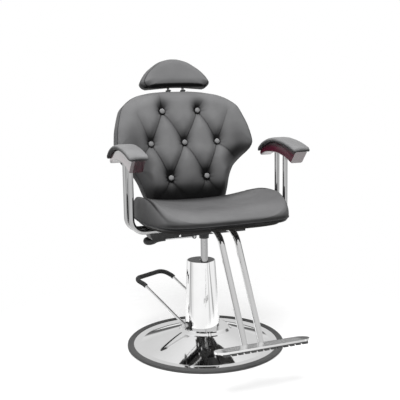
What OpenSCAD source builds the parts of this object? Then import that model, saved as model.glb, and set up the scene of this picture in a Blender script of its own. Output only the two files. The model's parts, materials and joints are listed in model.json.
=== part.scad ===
// Reclining barber chair on a round hydraulic base.
// The origin is on the lift post's axis at the floor, +Z is up and the sitter faces -Y.

/* [Base] */
// Outer diameter of the round base, over its rubber rim
base_d = 600; // [520:5:680]
// Height of the flat hub that the pump stands on
hub_h = 76; // [66:1:90]
// Radius of the flat hub
hub_r = 84; // [80:1:95]
// Wall of the pressed base plate
base_wall = 2.5; // [2:0.1:4]
// Width of the rubber rim, seen from above
rim_w = 24; // [16:1:34]
// Height of the rubber rim
rim_h = 15; // [13:0.5:20]
// Thickness of the steel plate that closes the base underneath
floor_t = 6; // [4:0.5:7]

/* [Pump] */
// Height of the top of the pump shroud above the floor
shroud_z = 326; // [318:1:345]
// Radius of the shroud's round foot
shroud_foot_r = 67; // [64:0.5:72]
// Radius of the rear arc of the shroud's top outline
shroud_top_r = 54; // [50:0.5:58]
// Radius of the nose of the shroud's top outline, around the post
shroud_nose_r = 25; // [20:0.5:30]
// Distance from the post's axis back to the centre of the shroud's rear arc
shroud_top_back = 34; // [28:0.5:38]
// Sideways place of the centre of the shroud's foot
shroud_foot_x = -6; // [-8:0.5:0]
// Front to back place of the centre of the shroud's foot
shroud_foot_y = 13; // [8:0.5:16]
// Wall of the shroud
shroud_wall = 2; // [1.5:0.1:3]
// Diameter of the lift post
post_d = 27.5; // [24:0.5:30]
// Length of post that shows between the shroud and the seat frame
post_show = 92; // [88:1:120]
// How far the seat can sink from its height at rest
lift_down = 60; // [40:1:72]
// How far the seat can rise from its height at rest
lift_up = 90; // [40:1:95]

/* [Foot lever] */
// Angle that the pump and its lever are turned from straight behind the chair
pump_turn = 28.8; // [0:0.2:40]
// Height of the lever's axle above the hub
axle_up = 12; // [12:0.5:16]
// Diameter of the lever's axle
axle_d = 12; // [10:0.5:12]
// Diameter of the lever's rod
lever_d = 11; // [9:0.5:12]
// Distance from the middle of the lever to the middle of each arm
lever_half_w = 82.5; // [80:0.5:90]
// Length of the lever's straight arms
lever_arm_l = 246; // [200:1:260]
// Length of the flatter stretch at the lever's end
lever_tip_l = 54; // [50:1:70]
// Slope of the arms at rest
lever_slope = 31; // [31:1:40]
// Slope of the flatter stretch at rest
lever_tip_slope = 15; // [8:1:24]
// Outer diameter of the rubber sleeve
sleeve_d = 18; // [14:0.5:20]

/* [Seat] */
// Width of the seat cushion
seat_w = 544; // [480:2:600]
// Depth of the seat cushion
seat_l = 393; // [370:1:400]
// Front to back place of the seat cushion's rear edge
seat_rear_y = 118; // [110:1:119]
// Thickness of the seat cushion in its middle
seat_t = 51; // [40:1:60]
// Height of the side rolls above the middle of the seat
seat_roll = 42; // [20:1:50]
// Thickness of the seat board
pan_t = 14.5; // [12:0.5:18]

/* [Arms] */
// Gap between the seat cushion's side and the arm tubes
arm_side_gap = 22.5; // [16:0.5:30]
// Diameter of the arm tubes
arm_tube_d = 19; // [16:0.5:20]
// Distance between the two tubes of one arm
arm_tube_gap = 64; // [56:1:72]
// Front to back place of the front arm tube
arm_front_y = -77; // [-85:1:-70]
// Length of an armrest, front to back
armrest_l = 284; // [250:1:320]
// Width of an armrest's wood
armrest_w = 48; // [40:1:56]
// Height of the arch from its lowest point to its top
armrest_rise = 71; // [60:1:80]
// Height of the lowest point of the armrest's wood
armrest_z = 700; // [690:1:730]
// Thickness of an arm pad
pad_t = 17; // [12:0.5:24]
// Width of an arm pad
pad_w = 70; // [60:1:76]

/* [Footrest] */
// Diameter of the footrest tubes
foot_tube_d = 22; // [20:0.5:22]
// Distance from the middle plane to each footrest tube
foot_tube_x = 30.5; // [26:0.5:34]
// Distance from the post's axis forward to the corner of the footrest tubes
foot_corner = 214; // [200:1:240]
// Lean of the footrest tubes from the vertical
foot_lean = 30.4; // [22:0.2:34]
// Height of the lower ends of the footrest tubes
foot_end_z = 142; // [125:1:180]
// Distance from the ends of the tubes forward to the footplate
plate_reach = 40; // [24:1:50]
// Width of the footplate
plate_w = 336; // [300:2:380]
// Depth of the footplate
plate_l = 66; // [56:1:80]
// Thickness of the footplate
plate_t = 7; // [6:0.5:10]
// Tilt of the footplate
plate_tilt = 11; // [0:1:20]

/* [Backrest] */
// Half width of the backrest at its wings
back_half_w = 284; // [270:1:300]
// Height of the backrest along its slope
back_h = 447; // [430:1:460]
// Lean of the backrest from the vertical at rest
back_lean = 19.6; // [12:0.2:26]
// Front to back place of the recline pins
pivot_y = 165; // [163:0.5:175]
// Height of the recline pins
pivot_z = 490; // [486:0.5:496]
// Thickness of the board in the backrest
board_t = 12; // [9:0.5:15]
// Thickness of the back cushion at its lower edge
back_edge_t = 26; // [20:1:32]
// Thickness of the back cushion at its wings and its top edge
back_wing_t = 50; // [40:1:54]
// How far the wings of the back cushion curl forward
back_curl = 28; // [10:1:34]
// How far the lower sides of the back cushion fall back past the board
back_wrap = 30; // [10:1:34]
// Thickness of the back cushion in its middle, at its ends
back_mid_t = 68; // [62:1:76]
// Depth of the sewn tufts
tuft_depth = 17; // [8:0.5:20]
// Diameter of a button
button_d = 21; // [14:0.5:22]

/* [Headrest] */
// Half width of the headrest
head_half_w = 146; // [130:1:160]
// Height of the headrest along its slope
head_h = 119; // [100:1:125]
// Thickness of the headrest
head_t = 60; // [50:1:66]
// Gap between the backrest and the headrest at rest
head_gap = 12; // [10:1:30]
// Diameter of the headrest rods
head_rod_d = 10; // [8:0.5:10]
// Distance from the middle plane to each headrest rod
head_rod_x = 31; // [25:0.5:36]
// How far the headrest slides up
head_travel = 60; // [30:1:65]

/* [Hidden] */
$fn = 64;

// Clearances
run = 0.05;       // radial clearance of a shaft that turns or slides in its bore
fit = 0.1;        // radial clearance of a piece that is fixed in its hole
rest_gap = 0.2;   // clearance between pieces that are clamped together
soft_gap = 0.3;   // clearance between a cushion and what it lies on
over = 1;         // how far a cut runs past the face that it opens

// Base
rim_in_r = base_d / 2 - rim_w;
plate_edge_r = base_d / 2 - rim_w / 3;
rim_slot_z = rim_h - base_wall * 2;
hub_fillet = 20;
hub_drop = 16;
slope_power = 1.3;
slope_steps = 20;
slope_top_r = hub_r + hub_fillet;
slope_top_z = hub_h - hub_drop;
lip_w = 12;
lip_z = rim_h;
floor_z = 2;
floor_pad_r = 90;
bolt_r = 5;
bolt_head_h = 6.5;
bolt_head_r = 8.5;
bolt_circle_r = 46;

// Pump, in the plane of its own lever: across is sideways and back is away from the post
flange_t = 8;
flange_r = 60;
bore_r = 17;
ram_wall = 5;
ram_r = bore_r + ram_wall;
post_r = post_d / 2;
axle_r = axle_d / 2;
axle_z = hub_h + axle_up;
axle_back = ram_r + axle_r + over;
cap_t = 4;
cap_lip = 1;
cap_top = shroud_z - cap_lip;
cap_hole_r = post_r + over;
shroud_rear_steps = 44;
shroud_nose_steps = 18;
shroud_part = 0.99;
shroud_turn = asin((shroud_top_r - shroud_nose_r) / shroud_top_back);
bush_h = 18;
bush_lip_h = 3;
pump_drop = 26;
pump_top = shroud_z - pump_drop;
wiper_h = 7;
wiper_wall = 4;
head_h_p = 12;
post_foot_gap = 2;
post_foot_z = hub_h + flange_t + lift_down + head_h_p + post_foot_gap;
spigot_r = 7;
spigot_l = 8;
crank_l = 24;
crank_t = 9;
crank_tip_r = 6;
crank_hub_r = 9.5;
plunger_r = 8;
plunger_l = 24;
lever_press = 30;
block_half_w = 18;
block_far = 72;
block_h = 54;
pocket_far = axle_back + crank_tip_r + crank_l * sin(lever_press) + over;
pocket_half_w = crank_t / 2 + over;
pocket_near = axle_back - crank_hub_r - over / 2;
screw_r = 3;
screw_head_r = 5.5;
screw_head_h = 3;

// Lever
lever_r = lever_d / 2;
sleeve_r = sleeve_d / 2;
sleeve_l = 10;
lever_bend = 30;
knee_bend = 40;
lever_hub_r = 9;
lever_hub_w = 17;
lever_socket_l = 26;
lever_socket_d = 14;
ear_t = 4;
ear_w = 26;
ear_gap = 0.5;
ear_out = lever_half_w - lever_hub_w / 2 - ear_gap;
ear_foot_w = 10;
cap_w = 3;

// Seat frame: every tube lies on the top of its plate
foot_tube_r = foot_tube_d / 2;
arm_tube_r = arm_tube_d / 2;
arm_x = seat_w / 2 + arm_side_gap + arm_tube_r;
tube_wall = 2;
tube_sides = 22;
arc_step = 11;
post_in_frame = 46;
post_top_z = shroud_z + post_show + post_in_frame;
frame_t = 5;
frame_top = post_top_z + frame_t;
tube_bottom = frame_top + rest_gap;
foot_tube_z = tube_bottom + foot_tube_r;
arm_tube_z = tube_bottom + arm_tube_r;
pan_z = tube_bottom + foot_tube_d + rest_gap;
cushion_z = pan_z + pan_t + soft_gap;
frame_half_w = 127;
frame_front = arm_front_y - arm_tube_d;
frame_rear = 46;
flange_h = 12;
boss_r = 22;
boss_foot_r = 18;
boss_z = shroud_z + post_show;
rail_x = 115;
rail_t = 6;
rail_h = 18;
rail_front = -60;
rail_hub_r = 15;
pin_r = 6;
pin_head_r = 9;
pin_head_t = 3;
bolt_x = 95;
bolt_front_y = arm_front_y + arm_tube_gap / 2;
bolt_rear_y = 28;
seat_bolt_r = 4;
seat_bolt_head_r = 6.5;
seat_bolt_head_h = 5;
seat_bolt_grip = 9;

// Seat cushion
seat_half_w = seat_w / 2;
seat_seam_h = 20;
seat_tuck = 8;
seat_edge_r = 38;
seat_fall = 16;
seat_rows = 26;
seat_half_cols = 13;
pan_inset = 26;
// Along the depth from the front edge, the cushion's half width
seat_outline_shares = [
    [0, 0.36], [0.012, 0.56], [0.045, 0.74], [0.11, 0.855], [0.2, 0.925], [0.34, 0.975],
    [0.52, 1], [0.7, 0.995], [0.84, 0.97], [0.94, 0.9], [0.985, 0.79], [1, 0.66]
];

// Arms
arm_rear_y = arm_front_y + arm_tube_gap;
arm_bend = 46;
arm_inner_x = 62;
arm_socket = 18;
armrest_seat_share = 0.38;
armrest_back_y = 92;
armrest_shift = 3.5;
armrest_mid_x = arm_x + armrest_shift;
armrest_edge = 6;
armrest_steps = 22;
// From the back end: along the length and up the rise
armrest_top_shares = [[0, 0.38], [0.113, 0.69], [0.289, 0.93], [0.482, 1], [0.658, 0.94], [0.834, 0.81], [1, 0.62]];
armrest_low_shares = [[0.021, 0.155], [0.12, 0.31], [0.26, 0.394], [0.447, 0.408], [0.6, 0.338], [0.74, 0.197], [0.866, 0]];
pad_steps = 20;
pad_end_l = 14;
pad_overhang = 4;

// Footrest
foot_bend = 78;
foot_tube_rear = 34;
foot_leg = (foot_tube_z - foot_end_z) / cos(foot_lean);
foot_turn = 90 - foot_lean;
foot_trim = foot_bend * tan(foot_turn / 2);
foot_end_y = -foot_corner - foot_leg * sin(foot_lean);
strap_w = 20;
strap_t = 5;
strap_rear = 0.5;
strap_grip = 44;
spigot_in = 32;
plate_screw_r = 3;
plate_screw_head_r = 5.5;
plate_screw_head_h = 4;
groove_n = 5;
groove_r = 1.6;
rib_h = 6;
rib_t = 5;
// Places of the ribs over the footplate's half width
rib_shares = [-0.86, -0.64, -0.42, 0, 0.42, 0.64, 0.86];
strip_t = 10;
strip_h = 8;
strip_w = plate_w - plate_l * 0.6;
strip_teeth = 13;
strip_web = 3;

// Release lever
release_x = -28;
release_y = 34;
release_drop = 44;
release_z = post_top_z - release_drop;
release_r = 3.5;
release_eye_r = 8;
release_eye_t = 7;
release_l = 116;
release_pin_r = 3.5;
release_range = 9;
knob_l = 86;
knob_neck_r = 8;
knob_r = 16.5;
lug_plate_t = 4;
box_in = frame_half_w + rest_gap;
box_w = 111;
box_out = box_in + box_w;
box_h = 24;
box_taper = 10;
box_half_l = 29;

// Backrest, in its own frame: s runs up the slope and n forward from the pins' plane
bracket_t = 6;
bracket_hub_r = 13;
bracket_depth = 26;
bracket_flange = 40;
bracket_low = 60;
bracket_high = 196;
bracket_in = rail_x - rail_t / 2 - ear_gap - bracket_t;
back_low = 40;
cushion_n = board_t + soft_gap;
back_roll_r = 58;
back_tuck = 9;
back_front_share = 0.985;
lumbar = 8;
board_inset = 54;
board_curl_inset = 46;
board_low_inset = 14;
board_top_inset = 26;
wrap_w = 52;
back_rows = 33;
back_cols = 31;
tuft_r = 21;
pleat_depth = 5;
pleat_r = 9;
button_h = 6;
button_sink = 8;
// Up the height from the lower edge, the backrest's half width
back_outline_shares = [
    [0, 0.54], [0.012, 0.57], [0.1, 0.62], [0.2, 0.67], [0.28, 0.735], [0.335, 0.815], [0.375, 0.885],
    [0.408, 0.95], [0.438, 0.985], [0.48, 1], [0.53, 0.996], [0.585, 0.984], [0.64, 0.968],
    [0.7, 0.941], [0.797, 0.888], [0.843, 0.846], [0.905, 0.735], [0.947, 0.61], [0.97, 0.49],
    [0.99, 0.34], [1, 0.18]
];
// Buttons: sideways over the half width, and up the height
button_shares = [
    [-0.264, 0.803], [0.264, 0.803], [-0.49, 0.508], [0, 0.51], [0.49, 0.508], [-0.264, 0.198], [0.264, 0.198]
];
// Ends of the sewn pleats, in the same shares
pleat_shares = [
    [-0.264, 0.803, 0, 0.51], [0.264, 0.803, 0, 0.51], [-0.264, 0.803, -0.49, 0.508], [0.264, 0.803, 0.49, 0.508],
    [0, 0.51, -0.264, 0.198], [0, 0.51, 0.264, 0.198], [-0.49, 0.508, -0.264, 0.198], [0.49, 0.508, 0.264, 0.198],
    [-0.49, 0.508, -0.7, 0.76], [0.49, 0.508, 0.7, 0.76], [-0.49, 0.508, -0.66, 0.34], [0.49, 0.508, 0.66, 0.34],
    [-0.264, 0.198, -0.1, 0.03], [0.264, 0.198, 0.1, 0.03], [-0.264, 0.198, -0.42, 0.04],
    [0.264, 0.198, 0.42, 0.04], [-0.264, 0.803, -0.3, 0.96], [0.264, 0.803, 0.3, 0.96]
];

// Headrest
head_low = back_low + back_h + head_gap;
head_rod_forward = 40;
head_rod_n = cushion_n + head_rod_forward;
head_rod_r = head_rod_d / 2;
head_rod_in = 38;
head_forward = 8;
guide_wall = 3;
guide_l = 118;
guide_lip = 2;
head_back_n = head_rod_n - head_t / 2 + head_forward;
head_rows = 17;
head_cols = 15;
head_roll_r = 30;
head_tuck = 6;
head_outline_shares = [
    [0, 0.86], [0.03, 0.955], [0.09, 1], [0.2, 0.985], [0.4, 0.9], [0.58, 0.77], [0.76, 0.58], [0.9, 0.39], [0.98, 0.17], [1, 0.05]
];

// Smooth curve through points: each piece between two points is a cubic.
function pick(p, i) = p[max(0, min(len(p) - 1, i))];
function cubic(a, b, c, d, t) =
    0.5 * ((2 * b) + (c - a) * t + (2 * a - 5 * b + 4 * c - d) * t * t + (3 * b - a - 3 * c + d) * t * t * t);
function on_curve(p, x) =
    let (i = min(floor(x), len(p) - 2), t = x - i)
    cubic(pick(p, i - 1), pick(p, i), pick(p, i + 1), pick(p, i + 2), t);
function curve(p, steps) = [for (k = [0:steps]) on_curve(p, k * (len(p) - 1) / steps)];

// Height of a rolled edge at distance d from it, as a share of the crown
function roll_share(d, r) = let (q = 1 - min(max(d, 0), r) / r) sqrt(max(0, 1 - q * q));
function bump(d, r) = exp(-d * d / (2 * r * r));
function seg_dist(p, a, b) =
    let (v = b - a, t = max(0, min(1, ((p - a) * v) / (v * v))))
    norm(p - a - t * v);

// Closed skin over rings with the same number of points, with a fan over each end
module skin(rings) {
    n = len(rings[0]);
    m = len(rings);
    mid = [for (r = [rings[0], rings[m - 1]]) [for (k = [0:2]) (max([for (p = r) p[k]]) + min([for (p = r) p[k]])) / 2]];
    points = concat([for (r = rings) each r], mid);
    sides = [for (i = [0:m - 2]) for (j = [0:n - 1])
        let (a = i * n + j, b = i * n + (j + 1) % n) each [[a, b + n, b], [a, a + n, b + n]]];
    low = [for (j = [0:n - 1]) [m * n, j, (j + 1) % n]];
    high = [for (j = [0:n - 1]) [m * n + 1, (m - 1) * n + (j + 1) % n, (m - 1) * n + j]];
    polyhedron(points = points, faces = concat(sides, low, high), convexity = 4);
}

function unit(v) = v / norm(v);

// Closed skin over a ring of rings, such as a tube's outside and then its inside
module loop_skin(rings) {
    n = len(rings[0]);
    m = len(rings);
    points = [for (r = rings) each r];
    polyhedron(points = points, faces = [for (i = [0:m - 1]) for (j = [0:n - 1])
        let (a = i * n + j, b = i * n + (j + 1) % n, c = ((i + 1) % m) * n + j, d = ((i + 1) % m) * n + (j + 1) % n)
        each [[a, d, b], [a, c, d]]], convexity = 6);
}

// Frames along a bar from p in direction t, for the same steps as bent_bar's: [point, u, v]
function bar_frames(steps, last_l, p, t, u, v, i = 0) =
    i == len(steps) ? [[p, u, v], [p + last_l * t, u, v]] :
    let (
        l = steps[i][0],
        way = steps[i][1],
        radius = steps[i][2],
        angle = steps[i][3],
        w = -cos(way) * u - sin(way) * v,
        b = cross(t, w),
        q = p + l * t,
        n = ceil(angle / arc_step),
        arc = [for (k = [1:n - 1]) let (a = angle * k / n)
            [q + radius * ((1 - cos(a)) * w + sin(a) * t), turned(u, t, w, b, a), turned(v, t, w, b, a)]]
    )
    concat([[p, u, v]], l > over ? [[q, u, v]] : [], arc,
        bar_frames(steps, last_l, q + radius * ((1 - cos(angle)) * w + sin(angle) * t),
            cos(angle) * t + sin(angle) * w, turned(u, t, w, b, angle), turned(v, t, w, b, angle), i + 1));
function turned(e, t, w, b, a) = (e * w) * (cos(a) * w - sin(a) * t) + (e * b) * b;
function frame_ring(f, r) = [for (k = [0:tube_sides - 1]) let (a = 360 * k / tube_sides) f[0] + r * (cos(a) * f[1] + sin(a) * f[2])];

// Hollow bar along z from the origin, in flat sides
module tube_skin(steps, last_l, r, bore) {
    frames = bar_frames(steps, last_l, [0, 0, 0], [0, 0, 1], [1, 0, 0], [0, 1, 0]);
    m = len(frames);
    loop_skin(concat([for (f = frames) frame_ring(f, r)], [for (i = [m - 1:-1:0]) frame_ring(frames[i], bore)]));
}

// Arc of a bar that leaves along z, curves towards -x, and carries its children from its end
module bend(radius, angle, r) {
    translate([-radius, 0, 0]) {
        rotate([90, 0, 0]) rotate_extrude(angle = 0.6 * angle) translate([radius, 0]) circle(r = r);
        rotate([0, -angle, 0]) {
            rotate([-90, 0, 0]) rotate_extrude(angle = 0.6 * angle) translate([radius, 0]) circle(r = r);
            translate([radius, 0, 0]) children();
        }
    }
}

// Round bar along z from the origin: each step is a length, the way that the next bend faces,
// the bend's radius and its angle, and last_l is the last straight length
module bent_bar(steps, last_l, r, grow = 0, i = 0) {
    first = i == 0 ? grow : 0;
    if (i < len(steps)) {
        l = steps[i][0];
        translate([0, 0, -first]) cylinder(r = r, h = l + first);
        translate([0, 0, l]) rotate([0, 0, steps[i][1]]) bend(steps[i][2], steps[i][3], r)
            rotate([0, 0, -steps[i][1]]) bent_bar(steps, last_l, r, grow, i + 1);
    } else {
        translate([0, 0, -first]) cylinder(r = r, h = last_l + first + grow);
    }
}

module bent_tube(steps, last_l, r) {
    difference() {
        bent_bar(steps, last_l, r);
        bent_bar(steps, last_l, r - tube_wall, over);
    }
}

// Pump frame: x across, y back from the post along the lever
module pump_frame() {
    rotate([0, 0, pump_turn]) children();
}

module base_plate() {
    t = [for (k = [0:slope_steps]) k / slope_steps];
    end_r = rim_in_r - lip_w;
    slope = [for (k = t) [slope_top_r + (end_r - slope_top_r) * k,
        lip_z + (slope_top_z - lip_z) * pow(1 - k, slope_power)]];
    fillet = [for (k = [1:5]) [hub_r + hub_fillet * k / 6, hub_h - hub_drop * (1 - cos(180 * k / 6)) / 2]];
    top = concat([[0, hub_h], [hub_r, hub_h]], fillet, slope, [[plate_edge_r, lip_z - base_wall]]);
    low = [for (i = [len(top) - 1:-1:0]) top[i] - [0, base_wall]];
    color("silver") difference() {
        rotate_extrude($fn = 180) polygon(concat(top, low));
        for (p = bolt_places) translate([p[0], p[1], hub_h - base_wall - over])
            cylinder(r = bolt_r + fit, h = base_wall + 2 * over);
    }
}

bolt_places = [for (k = [0:3])
    [shroud_foot_x, shroud_foot_y] + bolt_circle_r * [cos(45 + 90 * k + pump_turn), sin(45 + 90 * k + pump_turn)]];

module floor_plate() {
    color("dimgray") translate([0, 0, floor_z]) cylinder(r = rim_in_r + rim_w / 4, h = floor_t, $fn = 180);
}

module floor_pad() {
    color([0.2, 0.2, 0.2]) cylinder(r = floor_pad_r, h = floor_z - fit);
}

module base_rim() {
    slot_r = rim_in_r + rim_w / 4 + fit;
    groove_z = lip_z - 2 * base_wall;
    color([0.3, 0.3, 0.3]) rotate_extrude($fn = 180) polygon([
        [rim_in_r, 0], [base_d / 2 - rim_h / 3, 0], [base_d / 2, rim_h / 3], [base_d / 2, rim_h - rim_h / 4],
        [base_d / 2 - rim_h / 4, rim_h], [rim_in_r, rim_h + base_wall], [rim_in_r, rim_h + fit],
        [plate_edge_r + fit, lip_z - base_wall + fit], [plate_edge_r + fit, groove_z - fit],
        [slot_r, groove_z - fit], [slot_r, floor_z - fit], [rim_in_r, floor_z - fit]
    ]);
}

module flange_bolts() {
    color("gray") for (p = bolt_places) translate([p[0], p[1], hub_h - base_wall - bolt_head_h]) {
        cylinder(r = bolt_r, h = bolt_head_h + base_wall + flange_t);
        cylinder(r = bolt_head_r, h = bolt_head_h - rest_gap, $fn = 6);
        translate([0, 0, bolt_head_h + base_wall + flange_t + rest_gap]) cylinder(r = bolt_head_r, h = bolt_head_h, $fn = 6);
    }
}

module pump_body() {
    base_z = hub_h + rest_gap;
    color("dimgray") difference() {
        union() {
            translate([shroud_foot_x, shroud_foot_y, base_z]) cylinder(r = flange_r, h = flange_t - rest_gap);
            cylinder(r = ram_r, h = pump_top);
            pump_frame() translate([-block_half_w, 0, base_z]) cube([2 * block_half_w, block_far, block_h]);
        }
        translate([0, 0, -over]) cylinder(r = hub_r, h = base_z + over);
        translate([0, 0, hub_h + flange_t]) cylinder(r = bore_r, h = pump_top);
        pump_frame() {
            translate([0, axle_back, axle_z]) rotate([0, 90, 0]) cylinder(r = axle_r + run, h = 2 * shroud_foot_r, center = true);
            translate([-pocket_half_w, pocket_near, hub_h]) cube([2 * pocket_half_w, pocket_far - pocket_near, block_h + over]);
            translate([0, axle_back + crank_tip_r, axle_z + crank_l]) rotate([-90, 0, 0])
                cylinder(r = plunger_r + run, h = block_far);
        }
        for (p = bolt_places) translate([p[0], p[1], hub_h]) cylinder(r = bolt_r + fit, h = flange_t + over);
    }
}

module guide_bush() {
    color("goldenrod") difference() {
        union() {
            translate([0, 0, pump_top - bush_h]) cylinder(r = bore_r - fit, h = bush_h + bush_lip_h);
            translate([0, 0, pump_top + rest_gap]) cylinder(r = ram_r, h = bush_lip_h - rest_gap);
        }
        translate([0, 0, pump_top - bush_h - over]) cylinder(r = post_r + run, h = bush_h + bush_lip_h + 2 * over);
    }
}

module rod_wiper() {
    color([0.15, 0.15, 0.15]) translate([0, 0, pump_top + bush_lip_h + rest_gap]) difference() {
        cylinder(r = post_r + wiper_wall, h = wiper_h);
        translate([0, 0, -over]) cylinder(r = post_r + fit, h = wiper_h + 2 * over);
    }
}

// Top outline of the shroud: two arcs and the lines that touch both
function arc_points(centre, r, from, to, steps) =
    [for (k = [0:steps]) let (a = from + (to - from) * k / steps) centre + r * [cos(a), sin(a)]];
function shroud_outline(shrink) =
    let (turn = shroud_turn)
    concat(
        arc_points([0, shroud_top_back], shroud_top_r - shrink, -turn, 180 + turn, shroud_rear_steps),
        arc_points([0, 0], shroud_nose_r - shrink, 180 + turn, 360 - turn, shroud_nose_steps)
    );

// Foot outline with as many points, each below its own point of the top
function shroud_foot(shrink) =
    let (turn = shroud_turn, foot = [shroud_foot_x, shroud_foot_y], r = shroud_foot_r - shrink, part = shroud_part)
    concat(
        arc_points(foot, r, 90 - (90 + turn) * part, 90 + (90 + turn) * part, shroud_rear_steps),
        arc_points(foot, r, 270 - (90 - turn) * part, 270 + (90 - turn) * part, shroud_nose_steps)
    );
function at_height(outline, z) = [for (p = outline) [p[0], p[1], z]];

module pump_shroud() {
    low = hub_h + rest_gap;
    color("whitesmoke") difference() {
        loop_skin([
            at_height(shroud_foot(0), low), at_height(shroud_outline(0), shroud_z),
            at_height(shroud_outline(shroud_wall), shroud_z), at_height(shroud_foot(shroud_wall), low)
        ]);
        pump_frame() translate([-2 * shroud_foot_r, axle_back - axle_r - over, low - over])
            cube([4 * shroud_foot_r, 2 * (axle_r + over), axle_z + axle_r + 2 * over - low]);
    }
}

module shroud_cap() {
    color([0.2, 0.2, 0.2]) difference() {
        translate([0, 0, cap_top - cap_t]) linear_extrude(cap_t) polygon(shroud_outline(shroud_wall + fit * 3));
        translate([0, 0, cap_top - cap_t - over]) cylinder(r = cap_hole_r, h = cap_t + 2 * over);
        translate([0, shroud_top_back, cap_top - cap_t - over]) cylinder(r = screw_r + fit, h = cap_t + 2 * over);
    }
}

module cap_screw() {
    color("silver") translate([0, shroud_top_back, cap_top - cap_t - screw_head_h]) {
        cylinder(r = screw_r, h = cap_t + screw_head_h);
        translate([0, 0, cap_t + screw_head_h]) cylinder(r1 = screw_head_r, r2 = screw_r, h = screw_head_h);
    }
}

// One ear of the lever's bearing, with its foot turned outward
module ear() {
    foot_z = hub_h + rest_gap;
    difference() {
        union() {
            translate([ear_out - ear_t, axle_back, axle_z]) rotate([0, 90, 0]) cylinder(r = ear_w / 2, h = ear_t);
            translate([ear_out - ear_t, axle_back - ear_w / 2, foot_z]) cube([ear_t, ear_w, axle_z - foot_z]);
        }
        translate([0, axle_back, axle_z]) rotate([0, 90, 0]) cylinder(r = axle_r + run, h = 2 * ear_out);
        translate([0, 0, foot_z - ear_w]) cube([2 * ear_out, 2 * ear_out, ear_w]);
    }
}

module lever_brackets() {
    color([0.12, 0.12, 0.12]) pump_frame() for (m = [0, 1]) mirror([m, 0, 0]) ear();
}

module lever_axle() {
    reach = lever_half_w + lever_hub_w / 2;
    color("lightgray") pump_frame() translate([0, axle_back, axle_z]) rotate([0, 90, 0]) {
        cylinder(r = axle_r, h = 2 * reach, center = true);
        for (e = [-1, 1]) translate([0, 0, e * (reach + rest_gap + cap_w / 2)]) cylinder(r = axle_r + over, h = cap_w, center = true);
        cylinder(r = axle_r - over, h = 2 * (reach + rest_gap + over), center = true);
    }
}

module lever_crank() {
    color("gray") pump_frame() translate([0, axle_back, axle_z]) rotate([0, 90, 0]) difference() {
        union() {
            cylinder(r = crank_hub_r, h = crank_t, center = true);
            translate([-crank_l, 0, 0]) cylinder(r = crank_tip_r, h = crank_t, center = true);
            translate([-crank_l / 2, 0, 0]) cube([crank_l, 2 * crank_tip_r, crank_t], center = true);
        }
        cylinder(r = axle_r + fit, h = 2 * crank_t, center = true);
    }
}

// Lever frame: x across, y along the arms from the axle
module lever_frame() {
    pump_frame() translate([0, axle_back, axle_z]) rotate([lever_slope, 0, 0]) children();
}

module lever_hubs() {
    color("lightgray") lever_frame() for (e = [-1, 1]) translate([e * lever_half_w, 0, 0]) difference() {
        union() {
            rotate([0, 90, 0]) cylinder(r = lever_hub_r, h = lever_hub_w, center = true);
            rotate([-90, 0, 0]) cylinder(r = lever_hub_r - over, h = lever_socket_l);
        }
        rotate([0, 90, 0]) cylinder(r = axle_r + fit, h = 2 * lever_hub_w, center = true);
        translate([0, lever_socket_l - lever_socket_d, 0]) rotate([-90, 0, 0]) cylinder(r = lever_r + fit, h = lever_socket_l);
    }
}

tip_drop = lever_slope - lever_tip_slope;
knee_trim = knee_bend * tan(tip_drop / 2);
tip_straight = lever_tip_l - knee_trim - lever_bend;
cross_straight = 2 * (lever_half_w - lever_bend);

// Steps of the bar from one arm to the other, for the length of each arm
function lever_steps(arm_l) = [
    [arm_l - knee_trim, -90, knee_bend, tip_drop], [tip_straight, 180, lever_bend, 90],
    [cross_straight, 180, lever_bend, 90], [tip_straight, -90, knee_bend, tip_drop]
];

// Places its children at the start of the left arm, which runs along their z
module lever_start(y) {
    lever_frame() translate([-lever_half_w, y, 0]) rotate([-90, 0, 0]) children();
}

module lever_rod() {
    y = lever_socket_l - lever_socket_d + fit;
    color("silver") lever_start(y) bent_bar(lever_steps(lever_arm_l - y), lever_arm_l - y - knee_trim, lever_r);
}

module lever_sleeve() {
    color([0.2, 0.2, 0.2]) lever_start(lever_arm_l - sleeve_l)
        tube_skin(lever_steps(sleeve_l), sleeve_l - knee_trim, sleeve_r, lever_r + soft_gap);
}

module pump_plunger() {
    color("silver") pump_frame() translate([0, axle_back + crank_tip_r + soft_gap, axle_z + crank_l])
        rotate([-90, 0, 0]) cylinder(r = plunger_r, h = plunger_l);
}

module piston_head() {
    color("gray") translate([0, 0, post_foot_z - head_h_p]) difference() {
        cylinder(r = bore_r - run, h = head_h_p);
        translate([0, 0, head_h_p - spigot_l - run]) cylinder(r = spigot_r + run, h = head_h_p);
        translate([0, 0, head_h_p / 4]) difference() {
            cylinder(r = bore_r + over, h = head_h_p / 3);
            cylinder(r = bore_r - over * 2, h = head_h_p / 3);
        }
    }
}

module piston_seal() {
    color([0.15, 0.15, 0.15]) translate([0, 0, post_foot_z - head_h_p * 3 / 4 + fit]) difference() {
        cylinder(r = bore_r - run, h = head_h_p / 3 - 2 * fit);
        translate([0, 0, -over]) cylinder(r = bore_r - over * 2 + fit, h = head_h_p);
    }
}

module lift_post() {
    color("silver") {
        translate([0, 0, post_foot_z]) cylinder(r = post_r, h = post_top_z - post_foot_z - rest_gap);
        translate([0, 0, post_foot_z - spigot_l]) cylinder(r = spigot_r, h = spigot_l);
    }
}

// Side plate of the seat frame, from under the seat back to the recline pin
module rail() {
    low = post_top_z - rail_h;
    rotate([90, 0, 90]) linear_extrude(rail_t) difference() {
        union() {
            polygon([
                [rail_front, post_top_z], [rail_front, low + rail_h / 2], [rail_front + rail_h, low],
                [pivot_y, low], [pivot_y + rail_hub_r, pivot_z], [pivot_y - rail_hub_r, pivot_z],
                [pivot_y - 2 * rail_hub_r, post_top_z]
            ]);
            translate([pivot_y, pivot_z]) circle(r = rail_hub_r);
        }
        translate([pivot_y, pivot_z]) circle(r = pin_r + fit);
    }
}

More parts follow.
